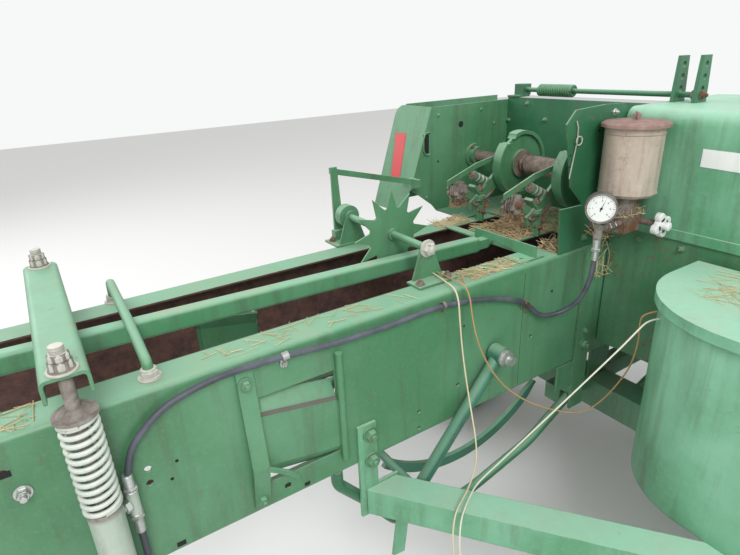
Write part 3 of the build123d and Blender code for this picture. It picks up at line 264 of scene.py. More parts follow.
# A mask that rises from 0 to 1 between two heights of the machine, mm
def overHeight(low, high):
    start, end = place(0, 0, low).z, place(0, 0, high).z
    return lambda tree: band(tree, component(tree, objectPlace(tree), "Z"), start, end)


# A mask of 1 where the surface faces along an axis
def facing(axis, sign):
    return lambda tree: band(tree, component(tree, surfaceNormal(tree), axis), sign * 0.55, sign * 0.8)


# A mask of 1 within a radius of the line across the machine through x, z, falling off over 6 mm
def nearLine(x, z, radius, soft=3):
    def mask(tree):
        vector = objectPlace(tree)
        for operation, second in (("SUBTRACT", place(x, 0, z)), ("MULTIPLY", (1, 0, 1))):
            step = node(tree, "VectorMath", {0: vector, 1: second}, operation=operation)
            vector = step.outputs["Vector"]
        far = node(tree, "VectorMath", {0: vector}, operation="LENGTH")
        return band(tree, far.outputs["Value"], (radius + soft) * mm, (radius - soft) * mm)
    return mask


# The top colour and its share are painted sunlight: upward faces turn paler towards it
plainPaint = {
    "base": (0.062, 0.20, 0.092), "bleached": (0.15, 0.33, 0.20), "top": (0.22, 0.47, 0.31),
    "grime": (0.07, 0.085, 0.05), "dirt": (0.42, 0.37, 0.28), "bareLight": (0.30, 0.20, 0.15),
    "bareDark": (0.085, 0.055, 0.045), "rustDark": (0.15, 0.065, 0.035), "rustLight": (0.27, 0.13, 0.06),
    "bleach": 0.55, "topSunlight": 0.75, "dust": 0.28, "streak": 0.45, "rust": 0.6, "edge": 0.55, "gloss": 0.34,
}
plainMetal = {
    "base": (0.32, 0.31, 0.29), "dark": (0.13, 0.12, 0.11), "rustDark": (0.11, 0.05, 0.03),
    "rustLight": (0.26, 0.12, 0.055), "rust": 0.4, "metallic": 0.75, "rough": 0.45,
}
plainRubber = {"base": (0.022, 0.022, 0.023), "pale": (0.12, 0.11, 0.10), "dust": 0.5, "rough": 0.9}


# Sun-bleached paint: bleached patches, tops paler with painted sunlight and dust, streaks, rust spots, worn
# edges and a bare part
def oldPaint(name, settings, bare=None):
    s = {**plainPaint, **settings}
    material, tree, shader = nodeTree(name)
    patches = band(tree, noise(tree, 3.2, 5, 0.6), 0.38, 0.68)
    colour = tint(tree, times(tree, patches, s["bleach"]), s["base"], s["bleached"])
    streaks = band(tree, noise(tree, 26, 4, 0.6, (1.0, 1.0, 0.10)), 0.5, 0.72)
    colour = tint(tree, times(tree, streaks, s["streak"]), colour, s["grime"])
    mottle = band(tree, noise(tree, 85, 3, 0.7), 0.52, 0.68)
    colour = tint(tree, times(tree, mottle, 0.2), colour, s["bleached"])
    # Upward faces turn towards the top colour: painted sunlight on the tops, with the dust added on them
    # below
    skyward = band(tree, component(tree, surfaceNormal(tree), "Z"), 0.3, 0.95)
    colour = tint(tree, times(tree, skyward, s["topSunlight"]), colour, s["top"])
    dusty = times(tree, skyward, band(tree, noise(tree, 9, 8, 0.7), 0.40, 0.66))
    colour = tint(tree, times(tree, dusty, s["dust"]), colour, s["dirt"])
    spots = band(tree, noise(tree, 48, 10, 0.72), 0.66 - 0.05 * s["rust"], 0.70 - 0.05 * s["rust"])
    spots = times(tree, spots, band(tree, noise(tree, 2.6, 4, 0.6), 0.42, 0.60))
    chips = times(tree, rim(tree, 0.004), band(tree, noise(tree, 30, 6, 0.7), 0.48, 0.60))
    rusty = combine(tree, "MAXIMUM", spots, times(tree, chips, s["edge"]))
    speckled = tint(tree, noise(tree, 220, 4, 0.7), s["rustDark"], s["rustLight"])
    colour = tint(tree, rusty, colour, speckled)
    if bare:
        worn = bare(tree)
        mixed = tint(tree, band(tree, noise(tree, 34, 8, 0.72), 0.35, 0.68), s["bareDark"], s["bareLight"])
        colour = tint(tree, worn, colour, mixed)
        rusty = combine(tree, "MAXIMUM", rusty, worn)
    gloss = band(tree, patches, 0, 1, s["gloss"], s["gloss"] + 0.16)
    dull = times(tree, combine(tree, "MAXIMUM", rusty, dusty), 0.35)
    feed(tree, shader, {"Base Color": colour, "Roughness": combine(tree, "ADD", gloss, dull)})
    grit = times(tree, noise(tree, 320, 3, 0.6), 0.35)
    height = combine(tree, "ADD", grit, times(tree, rusty, 0.4))
    bump(tree, shader, height, 0.0006, 0.6, 0.0022)
    return material


# Bare steel or iron: brushed or cast grey with rust and grease in patches
def oldMetal(name, settings):
    s = {**plainMetal, **settings}
    material, tree, shader = nodeTree(name)
    colour = tint(tree, band(tree, noise(tree, 14, 8, 0.7), 0.35, 0.7), s["base"], s["dark"])
    patch = band(tree, noise(tree, 22, 9, 0.75), 0.62 - 0.22 * s["rust"], 0.70 - 0.12 * s["rust"])
    speckled = tint(tree, noise(tree, 260, 5, 0.7), s["rustDark"], s["rustLight"])
    colour = tint(tree, times(tree, patch, min(1.0, 2 * s["rust"])), colour, speckled)
    rough = combine(tree, "ADD", s["rough"], times(tree, patch, 0.4))
    feed(tree, shader, {"Base Color": colour, "Metallic": s["metallic"], "Roughness": rough})
    bump(tree, shader, noise(tree, 240, 5, 0.7), 0.0008, 0.5, 0.0012)
    return material


# Weathered rubber, twine or straw: two tones in patches, with fine cracks
def oldRubber(name, settings):
    s = {**plainRubber, **settings}
    material, tree, shader = nodeTree(name)
    patches = band(tree, noise(tree, 7, 8, 0.7), 0.4, 0.7)
    colour = tint(tree, times(tree, patches, s["dust"]), s["base"], s["pale"])
    feed(tree, shader, {"Base Color": colour, "Roughness": s["rough"]})
    bump(tree, shader, noise(tree, 180, 6, 0.8), 0.0008, 0.6)
    return material


insideRust = {"bareLight": (0.16, 0.075, 0.055), "bareDark": (0.055, 0.03, 0.03)}     # where bales rub
wornRod = {"bareLight": (0.30, 0.24, 0.20), "bareDark": (0.10, 0.075, 0.06)}

# name: colours and wear, and a mask of the bare part
paints = {
    "green_paint": ({}, None),
    "case_right_paint": (insideRust, facing("Y", 1)),
    "case_left_paint": (insideRust, facing("Y", -1)),
    # A paler copy of the green: painted sunlight on parts that stand in the sun, over their real fading
    "green_painted_sunlight": ({"base": (0.095, 0.30, 0.155), "bleached": (0.24, 0.50, 0.34), "top": (0.40, 0.70, 0.53),
                      "bleach": 0.8, "rust": 0.4}, None),
    # A darker copy of the green: painted shade on parts that sit in shadow
    "green_painted_shade": ({"base": (0.022, 0.12, 0.052), "bleached": (0.06, 0.21, 0.115), "dust": 0.3}, None),
    "green_shaded_arms": ({"base": (0.024, 0.13, 0.08), "bleached": (0.075, 0.24, 0.16), "dust": 0.3}, None),
    "green_rusty": ({"rust": 2.0, "streak": 0.6, "dust": 0.7}, None),
    "rail_paint": ({"base": (0.075, 0.26, 0.12), "top": (0.25, 0.53, 0.36), "dust": 0.5}, None),
    "axle_paint": ({"base": (0.05, 0.16, 0.08), "rust": 1.2, "dust": 0.5, "streak": 0.7}, None),
    "can_cream": ({"base": (0.42, 0.34, 0.28), "bleached": (0.66, 0.58, 0.50), "top": (0.5, 0.4, 0.34),
                   "rust": 1.8, "streak": 0.8, "grime": (0.22, 0.15, 0.12), "bareLight": (0.36, 0.235, 0.21),
                   "bareDark": (0.21, 0.125, 0.10)}, overHeight(1364, 1368)),
    "wheel_yellow": ({"base": (0.62, 0.38, 0.04), "bleached": (0.70, 0.52, 0.18), "top": (0.72, 0.54, 0.2),
                      "rust": 0.9}, None),
    "cylinder_paint": ({"base": (0.34, 0.42, 0.35), "bleached": (0.52, 0.58, 0.50), "top": (0.62, 0.68, 0.60),
                        "rust": 1.2, "bareLight": (0.36, 0.33, 0.29), "bareDark": (0.14, 0.115, 0.10)},
                       overHeight(846, 856)),
    "knotter_shaft_paint": ({"rust": 1.0, **wornRod}, nearLine(0, 1208, 44)),
    "knotter_frame_paint": ({"rust": 1.6, "dust": 0.8, "bareLight": (0.36, 0.31, 0.27),
                             "bareDark": (0.09, 0.07, 0.06)}, nearLine(-239, 1148, 33)),
    "counter_stand_paint": ({"rust": 0.9, "dust": 0.35}, None),
    "worn_pale_nuts": ({"base": (0.42, 0.42, 0.37), "bleached": (0.60, 0.60, 0.54), "top": (0.66, 0.66, 0.6),
                        "rust": 0.9, "edge": 0.4, "dust": 0.35}, None),
    "pale_spring": ({"base": (0.50, 0.56, 0.50), "bleached": (0.70, 0.74, 0.68), "top": (0.76, 0.80, 0.74),
                     "rust": 1.4, "dust": 0.2}, None),
    "red_tape": ({"base": (0.50, 0.014, 0.02), "bleached": (0.56, 0.03, 0.03), "top": (0.54, 0.03, 0.03),
                  "rust": 0, "edge": 0, "streak": 0.15, "gloss": 0.25}, None),
    "blank_plate": ({"base": (0.78, 0.79, 0.77), "bleached": (0.84, 0.85, 0.83), "top": (0.85, 0.85, 0.83),
                     "rust": 0.1, "edge": 0.1, "streak": 0.1}, None),
}
metals = {
    "bare_steel": {},
    "rusty_steel": {"rust": 0.95, "metallic": 0.3, "rough": 0.6},
    "zinc_bolts": {"base": (0.62, 0.63, 0.62), "dark": (0.36, 0.36, 0.34), "rust": 0.15, "rough": 0.35},
    "polished_auger": {"base": (0.50, 0.48, 0.45), "dark": (0.30, 0.27, 0.24), "rust": 0.45, "rough": 0.3},
}
rubbers = {
    "tyre_rubber": {"rough": 0.75},
    "hose_rubber": {"base": (0.045, 0.05, 0.065), "pale": (0.20, 0.22, 0.26), "rough": 0.45},
    "driveline_guard": {"base": (0.03, 0.03, 0.032), "rough": 0.5},
    # near-black: painted shade in holes and slots, and the dial's printed marks
    "shade_and_print_black": {"base": (0.008, 0.009, 0.008), "pale": (0.02, 0.02, 0.018)},
    "seam_dirt": {"base": (0.05, 0.06, 0.04), "pale": (0.12, 0.10, 0.06)},
    "ledge_dust": {"base": (0.10, 0.10, 0.085), "pale": (0.21, 0.19, 0.16)},
    "cream_twine": {"base": (0.62, 0.54, 0.36), "pale": (0.72, 0.66, 0.50)},
    "brown_twine": {"base": (0.42, 0.25, 0.10), "pale": (0.56, 0.40, 0.20)},
    "white_twine": {"base": (0.66, 0.62, 0.52), "pale": (0.78, 0.75, 0.66)},
    "straw": {"base": (0.50, 0.38, 0.20), "pale": (0.74, 0.62, 0.40), "dust": 0.9, "rough": 0.85},
    "chaff": {"base": (0.20, 0.12, 0.07), "pale": (0.44, 0.30, 0.17), "dust": 0.9},
}
finish = {name: oldPaint(name, settings, bare) for name, (settings, bare) in paints.items()}
finish.update({name: oldMetal(name, settings) for name, settings in metals.items()})
finish.update({name: oldRubber(name, settings) for name, settings in rubbers.items()})
print("materials made")


# The CAD nodes that stay in view, by finish
nodesByFinish = {
    "case_right_paint": ["case_side_right"], "case_left_paint": ["case_side_left"],
    "rail_paint": ["centre_rail"],
    "green_paint": ["tension_channels", "cross_rod", "hay_resistors", "counter_wheel", "left_shield",
                    "main_frame", "pickup_pivots", "pickup_frame", "wind_guard", "tongue", "drive_shield"],
    "green_rusty": ["case_deck", "trough", "flywheel", "hitch_clevis"],
    # Parts in the darker green carry painted shade
    "green_painted_shade": ["right_shield", "front_shield", "needle_guard", "gearbox", "float_spring"],
    # Parts in the paler green carry painted sunlight
    "green_painted_sunlight": ["brace", "hood", "crank_housing", "twine_box", "twine_lid"],
    "green_shaded_arms": ["needle_yoke"], "axle_paint": ["axle"], "cylinder_paint": ["tension_cylinders"],
    "counter_stand_paint": ["counter_stand"], "knotter_shaft_paint": ["knotter_shaft"],
    "knotter_frame_paint": ["knotter_frames"], "can_cream": ["fluid_can"],
    "wheel_yellow": ["left_rim", "right_rim"], "polished_auger": ["auger"], "zinc_bolts": ["needle_pivots"],
    "rusty_steel": ["case_floor", "plunger", "tension_pump"],
    "bare_steel": ["tine_reel", "jack", "pressure_gauge"],
    "hose_rubber": ["pressure_hose"], "driveline_guard": ["driveline"],
}
for finishName, nodeNames in nodesByFinish.items():
    for nodeName in nodeNames:
        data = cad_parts[nodeName].data
        data.materials.clear()
        data.materials.append(finish[finishName])


# Floor, light and camera

stage = {
    "size": 14, "floorColour": (0.78, 0.78, 0.77, 1), "worldLight": 0.75, "backdrop": (0.93, 0.94, 0.94, 1),
    # name: place, width, power
    "lamps": {"key": ((-3.5, -4.5, 5.5), 3.0, 330), "fill": ((-4.0, 4.5, 4.0), 4.0, 120),
              "front": ((5.0, -3.0, 4.5), 4.0, 130)},
    "aim": (0, 0, 0.7),
}


def makeFloor():
    size = stage["size"]
    data = bpy.data.meshes.new("floor")
    corners = [(x, y, groundZ) for x, y in ((-size, -size), (size, -size), (size, size), (-size, size))]
    data.from_pydata(corners, [], [(0, 1, 2, 3)])
    floor = addObject("floor", data)
    material, tree, shader = nodeTree("pale_floor")
    feed(tree, shader, {"Base Color": stage["floorColour"], "Roughness": 0.9})
    data.materials.append(material)


def makeLamps():
    for name, (where, width, power) in stage["lamps"].items():
        light = bpy.data.lights.new(name, "AREA")
        light.size = width
        light.energy = power
        lamp = addObject(name, light)
        lamp.location = where
        aim = Vector(stage["aim"]) - Vector(where)
        lamp.rotation_euler = aim.to_track_quat("-Z", "Y").to_euler()


# A soft white light, seen by the camera and in gloss as a pale backdrop
def makeWorld():
    world = bpy.data.worlds.new("studio")
    world.use_nodes = True
    tree = world.node_tree
    tree.nodes.clear()
    light = node(tree, "Background", {"Color": (1, 1, 1, 1), "Strength": stage["worldLight"]})
    seen = node(tree, "Background", {"Color": stage["backdrop"], "Strength": 1.0})
    path = node(tree, "LightPath").outputs
    either = node(tree, "Math", {0: path["Is Camera Ray"], 1: path["Is Glossy Ray"]}, operation="MAXIMUM")
    mix = node(tree, "MixShader", {"Fac": either.outputs[0], 1: light.outputs[0], 2: seen.outputs[0]})
    node(tree, "OutputWorld", {"Surface": mix.outputs[0]})
    bpy.context.scene.world = world
    bpy.context.scene.view_settings.view_transform = "Standard"


cameraPlan = {
    "place": (-1400, -1137, 1560),     # behind the knotters and right of the case, at eye height
    "heading": 57.932,                 # degrees left of straight ahead
    "down": 22.427,
    "roll": -2.524,
    "focalPixels": 535.9, "imageWidth": 740, "sensor": 36.0,
}


def makeCamera():
    data = bpy.data.cameras.new("camera")
    data.sensor_width = cameraPlan["sensor"]
    data.lens = cameraPlan["sensor"] * cameraPlan["focalPixels"] / cameraPlan["imageWidth"]
    data.clip_end = 100
    camera = addObject("camera", data)
    turn = (Matrix.Rotation(math.radians(cameraPlan["heading"] - 90), 4, "Z")
            @ Matrix.Rotation(math.radians(90 - cameraPlan["down"]), 4, "X")
            @ Matrix.Rotation(math.radians(cameraPlan["roll"]), 4, "Z"))
    camera.matrix_world = Matrix.Translation(place(*cameraPlan["place"])) @ turn
    bpy.context.scene.camera = camera


makeFloor()
makeLamps()
makeWorld()
makeCamera()
print("stage and camera made")


# Twines: tied at the counter's right bracket, and one from the twine box, over the brace

# One smooth line whose control points are the route's
def cordCurve(name, route, radius, material):
    data = bpy.data.curves.new(name, "CURVE")
    data.dimensions = "3D"
    spline = data.splines.new("NURBS")
    spline.points.add(len(route) - 1)
    for point, where in zip(spline.points, placeAll(route)):
        point.co = (*where, 1)
    spline.order_u = 3
    spline.use_endpoint_u = True
    data.resolution_u = 8
    data.bevel_depth = radius * mm
    data.bevel_resolution = 3
    data.use_fill_caps = True
    data.materials.append(material)
    cord = addObject(name, data)
    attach(cord, "chassis")
    return cord


twineRadius = 2.0
twines = {
    "twine_long": {"length": 0.86, "farEnd": "bare", "lay": "hanging", "colour": "cream_twine", "route": [
        (-588, -145.5, 1040), (-592, -176, 1039), (-597, -205, 1038), (-602, -232, 1039),
        (-606, -253, 1034), (-607, -266, 1010), (-606, -269, 972), (-603, -272, 924), (-601, -278, 872),
        (-603, -292, 820), (-607, -310, 768), (-609, -328, 714), (-612, -346, 662), (-622, -364, 616),
        (-650, -381, 588), (-684, -399, 575), (-718, -415, 573), (-748, -430, 572), (-768, -443, 552),
        (-772, -447, 512), (-770, -448, 466), (-772, -450, 420)]},
    "twine_slack": {"length": 1.15, "farEnd": "object", "lay": "hanging", "colour": "brown_twine", "route": [
        (-576, -145.5, 1040), (-574, -178, 1039), (-574, -206, 1038), (-574, -232, 1039),
        (-573, -253, 1034), (-571, -266, 1010), (-566, -269, 966), (-557, -273, 914), (-542, -280, 860),
        (-518, -289, 806), (-485, -300, 752), (-440, -314, 702), (-387, -330, 660), (-331, -347, 628),
        (-284, -366, 608), (-250, -389, 606), (-228, -414, 632), (-216, -440, 678), (-210, -464, 732),
        (-212, -486, 788), (-224, -502, 846), (-240, -512, 900), (-257, -517, 946), (-265, -527, 976),
        (-251.6, -550.2, 986)]},
    "twine_tight": {"length": 0.83, "farEnd": "bare", "lay": "taut", "colour": "white_twine", "route": [
        (-289.7, -578, 990), (-304, -562, 986), (-330, -554, 962), (-366, -540, 920), (-600, -426, 642),
        (-634, -409, 603), (-664, -404, 580), (-696, -418, 573), (-722, -433, 573), (-744, -445, 564),
        (-756, -453, 540), (-760, -457, 500), (-758, -459, 456), (-752, -459, 416)]},
}
for name, t in twines.items():
    cord = cordCurve(name + "_line", t["route"], twineRadius, finish[t["colour"]])
    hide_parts(name)
print("twines made")


# Springs that squeeze the bale, in the form of their ridged sleeves

tension = {"x": -1426, "y": 280, "low": 862, "high": 1052, "radius": 28.3, "wire": 4.4, "turns": 13,
           "rodTop": 1173, "channelTop": 1135}
for side, end in ((-1, "right"), (1, "left")):
    foot = (tension["x"], side * tension["y"], tension["low"] + tension["wire"])
    span = tension["high"] - tension["low"] - 2 * tension["wire"]
    coil = helixPath(foot, (0, 0, 1), tension["radius"], span, tension["turns"], 28, 0.8)
    spring = piece("tension_spring_" + end, [tubeArrays(coil, tension["wire"], 12)], "pale_spring",
                   sharp=80)
    if side < 0:
        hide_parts("tension_springs")


# Bolts, nuts and washers

out = np.array([0, -1.0, 0])        # away from the case's right side
up = np.array([0, 0, 1.0])
back = np.array([-1.0, 0, 0])
ahead = (1, 0, 0)


def washerForm(foot, axis, radius, thick):
    return turned([(0, radius), (0.7 * thick, radius), (thick, radius - 0.5)], foot, axis, 28)


# Six sides, with the top's corners turned off
def hexNut(foot, axis, radius, height):
    return turned([(0, radius), (0.74 * height, radius), (height, 0.87 * radius)], foot, axis, 6)


# A bolt's end: the radius steps in and out twice a pitch, and the tip is turned down
def threadEnd(foot, axis, radius, length, pitch=1.8):
    step = np.arange(2 * int(length / pitch) + 1)
    profile = np.stack([step * pitch / 2, radius - 0.3 * pitch * (step % 2)], -1).tolist()
    return turned(profile + [[length + 0.8, 0.75 * radius]], foot, axis, 16)


def domeHead(foot, axis, radius):
    return turned([(0, radius), (0.22 * radius, 0.93 * radius), (0.42 * radius, 0.68 * radius),
                   (0.52 * radius, 0.30 * radius)], foot, axis, 20)


# Washer, nut and the bolt's end standing out of it
def boltSet(foot, axis, radius, stub=6.0, wide=1.35):
    axis, foot = np.asarray(axis, float), np.asarray(foot, float)
    thick, high = 0.22 * radius, 0.86 * radius
    parts = [washerForm(foot, axis, wide * radius, thick), hexNut(foot + axis * thick, axis, radius, high)]
    if stub:
        parts.append(threadEnd(foot + axis * (thick + high), axis, 0.52 * radius, stub))
    return parts


# x, y, z of the seat, axis, radius, length of the bolt's end
housingFeet = [(x, -150, 470, out, 9, 4) for x in range(1170, 1900, 145)]
housingFeet += [(x, 150, 470, -out, 9, 4) for x in range(1170, 1900, 145)]
gearboxCovers = [(x, -140, z, out, 8, 4) for x in (1972, 2148) for z in (632, 760, 888)]
gearboxCovers += [(x, 140, z, -out, 8, 4) for x in (1972, 2148) for z in (632, 760, 888)]
driveCover = [(x, 440, 1052, -out, 8, 4) for x in range(400, 1700, 240)]
troughEdges = [(10, y, 1052, back, 8, 4) for y in (-1740, -1580, -1420, -450, -330)]
troughEdges += [(x, -1800, 1052, out, 8, 4) for x in (90, 250, 420, 580)]
caseSides = [
    (-857, -243, 647, out, 15.6, 5), (-859, -243, 723, out, 15.6, 5), (-62, -243, 698, out, 13, 8),
    (-62, -243, 745, out, 8, 3), (-1140, -244.6, 975, out, 11.6, 4), (-1140, -245.6, 682, out, 11.6, 5),
    (-1140, 244.6, 975, -out, 11.6, 4), (-1140, 245.6, 682, -out, 11.6, 5),
]
shieldBolts = [(164, 246, 1380, back, 7, 4), (164, 162, 1329, back, 7, 4), (164, 330, 1318, back, 6, 3),
               (-112, -235, 1058, out, 8, 4)]
boltRows = {
    "painted_bolts": {"finish": "green_paint", "slot": "green_paint", "rows": (
        housingFeet + gearboxCovers + driveCover + troughEdges + caseSides + shieldBolts),
        "domes": [(-169, 340, 1363), (-221, 340, 1084), (97, 340, 1312), (30, 340, 1366), (-60, 340, 1066),
                  (120, 340, 1066)]},
    "bright_bolts": {"finish": "zinc_bolts", "slot": "bare_steel", "domes": [], "rows": [
        (-1531, -235, 915, out, 11, 9), (-36, -235, 1395, out, 7, 4)]},
    "worn_bolts": {"finish": "rusty_steel", "slot": "bare_steel", "domes": [], "rows": [
        (-650, -172, 1033, up, 9, 4), (-562, -172, 1033, up, 9, 4), (-650, 268, 1033, up, 9, 4),
        (-562, 268, 1033, up, 9, 4), (-200, -180, 1032, up, 8, 5)]},
}
for name, b in boltRows.items():
    parts = sum([boltSet(row[:3], *row[3:]) for row in b["rows"]], [])
    parts += [domeHead(seat, out, 7) for seat in b["domes"]]
    piece(name, parts, b["finish"])

# Worn nuts on the channels' rods and the cross rod's feet
crossRodFeet = ((-1298, -192), (-1294, 226))
stacks = []
for side in (-1, 1):
    x, y, low = tension["x"], side * tension["y"], tension["channelTop"]
    stacks += [threadEnd((x, y, tension["rodTop"] - 7), up, 11.6, 12, 2.4),
               washerForm((x, y, low), up, 24, 3), hexNut((x, y, low + 5), up, 18.6, 14),
               hexNut((x, y, low + 20), up, 16.8, 11)]
for x, y in crossRodFeet:
    stacks += [washerForm((x, y, 1027), up, 22, 3), washerForm((x + 1, y, 1030), up, 19.5, 2.5),
               hexNut((x, y, 1032.5), up, 17.6, 12), washerForm((x, y, 1044.5), up, 14.5, 2)]
piece("worn_nuts", stacks, "worn_pale_nuts")
counterNut = [washerForm((-606, -145.3, 1111), out, 23, 3.4), hexNut((-606, -148.7, 1111), out, 17, 14),
              domeHead((-606, -162.7, 1111), out, 10)]
piece("counter_nut", counterNut, "worn_pale_nuts", "bale_counter")
print("springs and bolts made")


# Hose ends, the tee's sleeves and what holds the hose to the case

hoseEnds = {
    "gauge": (-191, -333), "tee": (-1379, -257),
    # low, high, radius, sides
    "gaugeSleeves": [(1068, 1094, 10.4, 24), (1062, 1069, 12.6, 6), (1036, 1062, 9.0, 24)],
    "teeSleeves": [(856, 862, 13.4, 6), (862, 888, 9.4, 24), (790, 796, 13.4, 6), (756, 790, 9.4, 24),
                   (798, 802, 12.6, 24), (850, 854, 12.6, 24)],
    "branchNut": (-1388, 261.4, 826), "branchAxis": (-0.898, 0.44, 0),
}
gx, gy = hoseEnds["gauge"]
tx, ty = hoseEnds["tee"]
fittings = [turned([(0, r), (high - low, r)], (gx, gy, low), up, sides)
            for low, high, r, sides in hoseEnds["gaugeSleeves"]]
for side in (-1, 1):
    for low, high, r, sides in hoseEnds["teeSleeves"]:
        if side < 0 or high < 850:
            sleeve = [(0, r - 0.8), (1.2, r), (high - low - 1.2, r), (high - low, r - 0.8)]
            fittings.append(turned(sleeve, (tx, side * abs(ty), low), up, sides))
    (bx, by, bz), (ax, ay, az) = hoseEnds["branchNut"], hoseEnds["branchAxis"]
    fittings.append(turned([(0, 13), (9, 13), (10, 12)], (bx, side * by, bz), (ax, side * ay, az), 6))
piece("hose_fittings", fittings, "zinc_bolts")

hoseHolds = {"y": -249, "clipX": -1053, "clipZ": 1011,
             "ties": [(-639, 1003, 0.1), (-356, 931, 0.35), (-338, 915, 0.5)]}     # x, z, lean


# Three uneven turns of wire round the hose, with the ends twisted together
def wireTie(x, z, y, lean):
    along = np.array([math.cos(lean), 0, math.sin(lean)])
    coil = helixPath(np.array([x, y, z]) - along * 4, along, 8.2, 8, 3, 14)
    tail = coil[-1] + np.array([[0, -1, -3], [2, -3, -9], [-3, -4, -16], [1, -2, -23], [6, -3, -29]])
    twist = coil[0] + np.array([[0, -2, -4], [-3, -4, -10], [3, -3, -17], [-4, -4, -24]])
    return [tubeArrays(coil, 1.1, 6), tubeArrays(np.vstack([coil[-1], tail]), 1.1, 6),
            tubeArrays(np.vstack([coil[0], twist]), 1.1, 6)]


ties = sum([wireTie(x, z, hoseHolds["y"], lean) for x, z, lean in hoseHolds["ties"]], [])
piece("wire_ties", ties, "rusty_steel", sharp=80)
clipX, clipZ = hoseHolds["clipX"], hoseHolds["clipZ"]
ring = [(-7, 7.2), (-7, 8.8), (7, 8.8), (7, 7.2)]
clip = [ringForm(ring, (clipX, hoseHolds["y"], clipZ + 0.5), (1, 0, 0.09)),
        extruded([(-7, -30), (7, -30), (7, -6), (-7, -6)], (clipX, -235.4, clipZ), ahead, up, 2.2)]
clip += boltSet((clipX, -237.6, clipZ - 23), out, 6.4, 3)
piece("hose_clip", clip, "zinc_bolts")
print("hose fittings made")


# The resistor plates' lower flap, the end under the strap, and the dirt on the ledge

resistor = {
    "start": -1119, "end": -941, "hinge": -1101, "fall": 31 / 175,
    "flap": [(-241.8, 756), (-241.8, 884.4), (-214.8, 927.4), (-213, 925), (-239.6, 883), (-239.6, 757),
             (-216.5, 723), (-218.5, 721)],                                        # y, z
    "ledge": [(-242.4, 884), (-242.4, 886), (-238.2, 893), (-237.4, 892.2), (-241.6, 885)],
}


# The profile in y, z carried along x and down by the fall, closed at both ends
def carried(profile, side):
    y, z = np.array(profile, float).T
    rows = [np.stack([np.full(len(y), x), -side * y, z - (x - resistor["hinge"]) * resistor["fall"]], -1)
            for x in (resistor["start"], resistor["end"])]
    count = len(y)
    index = np.arange(count)
    walls = np.stack([index, index + count, np.roll(index, -1) + count, np.roll(index, -1)], -1)
    faces = walls.tolist() + [index.tolist(), (index + count)[::-1].tolist()]
    return np.concatenate(rows), faces if side < 0 else [f[::-1] for f in faces]


piece("resistor_flaps", [carried(resistor["flap"], side) for side in (-1, 1)], "green_paint")
piece("resistor_dirt", [carried(resistor["ledge"], side) for side in (-1, 1)], "ledge_dust")


# Marks on the case: holes and slots filled with painted shade, and seams

marks = {
    # x, z and radius, and for the slots x, z and half sizes
    "sideHoles": [(-226, 921, 4), (-26, 839, 4), (-559, 915, 3), (-1290, 858, 3.5), (-1305, 822, 3.5)],
    "slots": [(-1315, 659, 9, 6), (-1076, 679, 7, 5), (-1029, 658, 7, 5), (-1549, 960, 12, 6)],
    "otherHoles": [((-66, 340, 1324), out, 11), ((-170, 340, 1206), out, 4), ((-94, -235, 1352), out, 4),
                   ((-440, -180, 1027), up, 5), ((-500, -182, 1027), up, 4), ((-205, -235, 1300), out, 2.5),
                   ((-205, -235, 1270), out, 2.5)],
    "seams": [-343, -96],
}


# A near-black disc on the surface: painted shade standing for the inside of a hole
def holeShadeDisc(foot, axis, radius):
    return turned([(0, radius), (0.35, radius)], foot, axis, 20)


def rectangle(a, b):
    return [(-a, -b), (a, -b), (a, b), (-a, b)]


# Near-black discs and slots on the case: painted shade where its holes and slots open
spots = [holeShadeDisc((x, -235, z), out, r) for x, z, r in marks["sideHoles"]]
spots += [extruded(rectangle(a, b), (x, -235, z), ahead, up, 0.35) for x, z, a, b in marks["slots"]]
spots += [holeShadeDisc(*hole) for hole in marks["otherHoles"]]
piece("hole_shade", spots, "shade_and_print_black")
seams = [extruded([(-0.8, 0), (0.8, 0), (0.8, 350), (-0.8, 350)], (x, -235, 655), ahead, up, 0.3)
         for x in marks["seams"]]
flangeEdge = [(0, -1), (1456, -1), (1456, 1), (0, 1)]
seams += [extruded(flangeEdge, (-1700, -152.1, 1027), ahead, (0, 1, 0), 0.3)]
piece("seam_lines", seams, "seam_dirt")


# The left shield's reflector, its slot filled with painted shade, and the hairpin on the right shield

shield = {
    "foldLow": (-290, 1123), "foldHigh": (-201, 1392),
    "tape": [(-505, 185), (-473, 29.5), (-419, 28.5), (-441, 186.5)],            # to the right, up the slope
    "slotRim": [(-206, 339, 1308), (-214, 337, 1311), (-229, 337, 1308), (-236, 337, 1290), (-236, 337, 1254),
                (-230, 337, 1238), (-216, 337, 1233), (-208, 339, 1236)],
    "pin": [(-196, -238, 1386), (-191, -240, 1370), (-190, -241, 1340), (-196, -240, 1300),
            (-203, -240, 1262), (-204, -238, 1240)],
    "plate": [(456, 1272), (700, 1266), (700, 1312), (456, 1316)],               # on the hood's back
}
(lowX, lowZ), (highX, highZ) = shield["foldLow"], shield["foldHigh"]
slope = np.array([highX - lowX, 0, highZ - lowZ], float)
slope /= np.linalg.norm(slope)
piece("red_reflector", [extruded(shield["tape"], (lowX, 0, lowZ), out, slope, 0.8)], "red_tape")
slotOutline = [(-13, -32), (11, -32), (11, 32), (-13, 32)]
# A near-black sheet in the shield's slot: painted shade seen through it
piece("shield_slot", [extruded(slotOutline, (-222, 340, 1272), ahead, up, 0.4)], "shade_and_print_black")
piece("slot_rim", [tubeArrays(shield["slotRim"], 2.6, 8)], "green_paint", sharp=80)
pinLoop = helixPath((-185, -241, 1336), out, 11, 3, 1.3, 20)
piece("hairpin", [tubeArrays(shield["pin"], 1.7, 8), tubeArrays(pinLoop, 1.7, 8)], "worn_pale_nuts",
      sharp=80)
piece("blank_plate", [extruded(shield["plate"], (10, 0, 0), out, up, 0.8)], "blank_plate")
print("marks and plates made")


# Gauge dial: plain numbers, marks and a pointer under the rim

